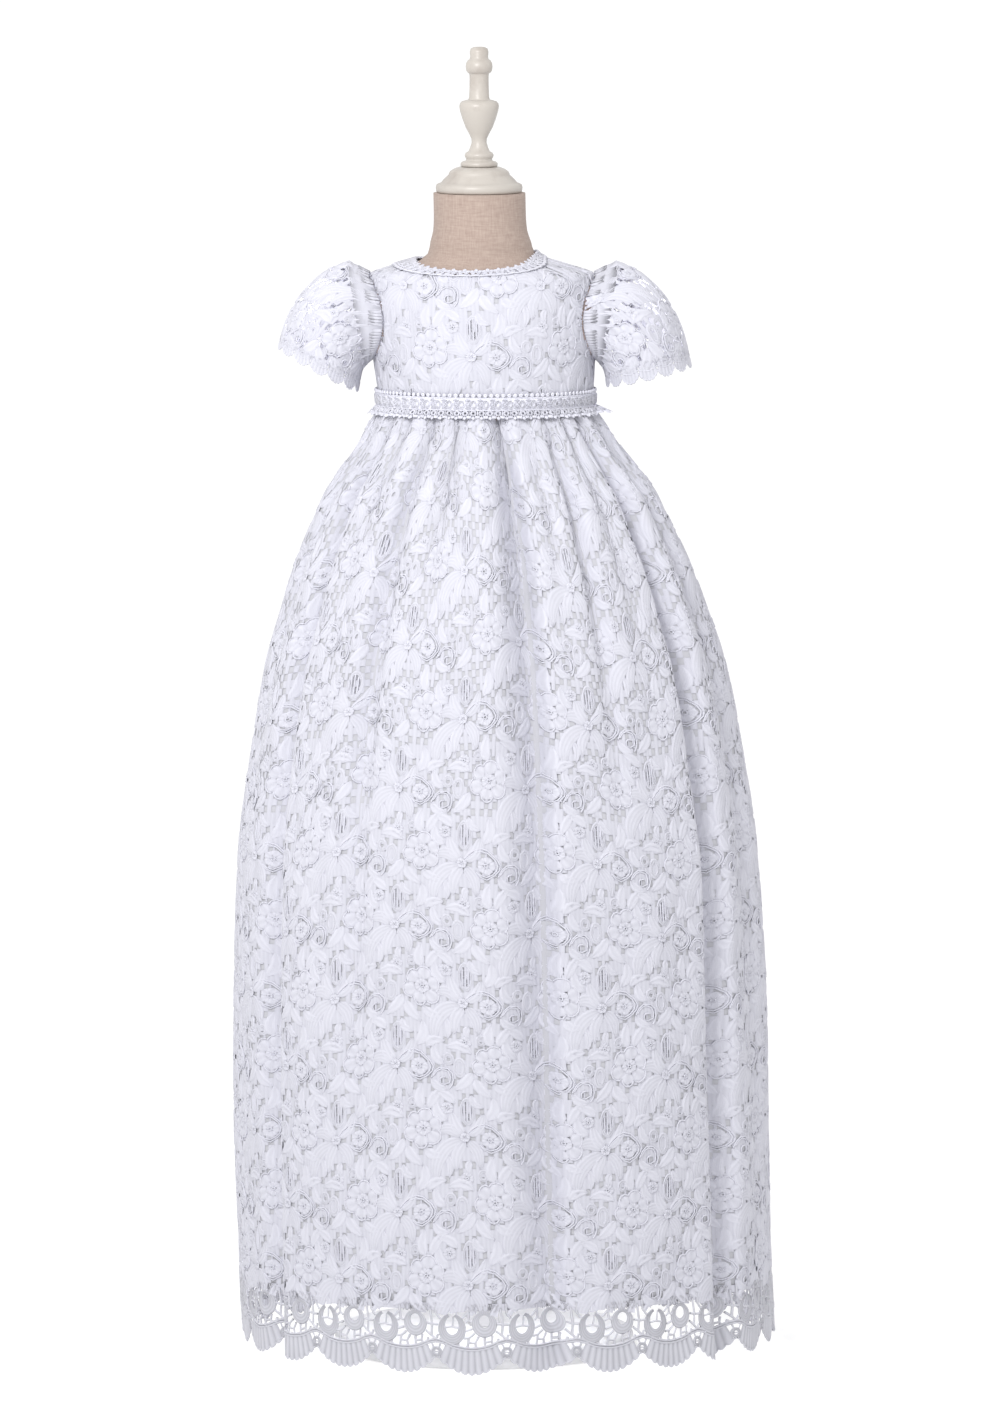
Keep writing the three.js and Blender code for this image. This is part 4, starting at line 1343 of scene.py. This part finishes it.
for name, profile, x, paint in (
    ("form_cap", CAP, -3.8, cream_wood),
    ("form_finial", FINIAL, -3.8, cream_wood),
    ("form_foot", FOOT, 0, white_wood),
    ("form_pole", POLE, 0, white_wood),
):
    piece = add_piece(name, turned_mesh(name, profile, x), paint, [name])
    edge = piece.modifiers.new("edge", "BEVEL")
    edge.width = 0.3 * MM
    edge.segments = 2
    edge.limit_method = "ANGLE"
    edge.angle_limit = radians(50)


def torso_mesh():
    """The padded form, closed below and flat under its cap."""
    bm = bmesh.new()
    bmesh.ops.create_cone(
        bm, cap_ends=True, cap_tris=False, segments=96, radius1=1, radius2=1, depth=1
    )
    upright = [e for e in bm.edges if abs(e.verts[0].co.z - e.verts[1].co.z) > 0.5]
    bmesh.ops.subdivide_edges(bm, edges=upright, cuts=64)
    mesh = mesh_from(bm, "form_torso")
    places = points_of(mesh)
    angle = np.degrees(np.arctan2(places[:, 0], -places[:, 1]))
    z = TORSO["z"][0] + (places[:, 2] + 0.5) * (TORSO["z"][-1] - TORSO["z"][0])
    rise = np.clip((z - 876) / 16, 0, 1)
    clearance = FORM_CLEARANCE * (1 - rise * rise * (3 - 2 * rise))
    mesh.vertices.foreach_set("co", (torso_points(angle, z, clearance) * MM).ravel())
    mesh.update()
    return mesh


add_piece("form_torso", torso_mesh(), linen_cover, ["form_torso"])

# Studio

floor_mesh = bpy.data.meshes.new("floor")
bm = bmesh.new()
bmesh.ops.create_grid(bm, x_segments=1, y_segments=1, size=30)
bm.to_mesh(floor_mesh)
bm.free()
floor = bpy.data.objects.new("floor", floor_mesh)
bpy.context.scene.collection.objects.link(floor)
floor_mesh.materials.append(studio_floor())

world = bpy.data.worlds.new("studio")
world.use_nodes = True
world.node_tree.nodes["Background"].inputs["Color"].default_value = (1, 1, 1, 1)
world.node_tree.nodes["Background"].inputs["Strength"].default_value = 1.0
bpy.context.scene.world = world


def area_light(name, place, aim, size, power):
    """A square lamp, in metres and watts."""
    lamp = bpy.data.lights.new(name, "AREA")
    lamp.energy = power
    lamp.size = size
    light = bpy.data.objects.new(name, lamp)
    light.location = place
    light.rotation_euler = (Vector(aim) - Vector(place)).to_track_quat("-Z", "Y").to_euler()
    bpy.context.scene.collection.objects.link(light)


# Real lace lets light through its threads and solid threads don't, so a small lamp under the skirt
# and one in each sleeve keep the openings as bright as the floor behind them.
LAMPS = (
    {"name": "key", "place": (-0.5, -1.35, 1.6), "aim": (0, 0, 0.9), "size": 0.5, "power": 18},
    {"name": "under_skirt", "place": (0, -0.06, 0.26), "aim": (0, 0, 0), "size": 0.14, "power": 0.9},
    {"name": "in_sleeve", "place": (-0.118, 0, 0.835), "aim": (-0.2, 0, 0.84), "size": 0.03, "power": 0.06},
    {"name": "in_sleeve", "place": (0.118, 0, 0.835), "aim": (0.2, 0, 0.84), "size": 0.03, "power": 0.06},
)
for lamp in LAMPS:
    area_light(**lamp)

# Camera: 0.8 mm a pixel at the gown, seen a little from above
DISTANCE = 8.0
ELEVATION = radians(6.3)
LENS = 253.5
SENSOR = 36
AIM = Vector((0.0128, 0, 0.514))
camera_data = bpy.data.cameras.new("camera")
camera_data.lens = LENS
camera_data.sensor_width = SENSOR
camera_data.clip_end = 100
camera = bpy.data.objects.new("camera", camera_data)
camera.location = AIM + DISTANCE * Vector((0, -cos(ELEVATION), sin(ELEVATION)))
camera.rotation_euler = (AIM - camera.location).to_track_quat("-Z", "Y").to_euler()
bpy.context.scene.collection.objects.link(camera)
bpy.context.scene.camera = camera
bpy.context.scene.view_settings.view_transform = "Standard"
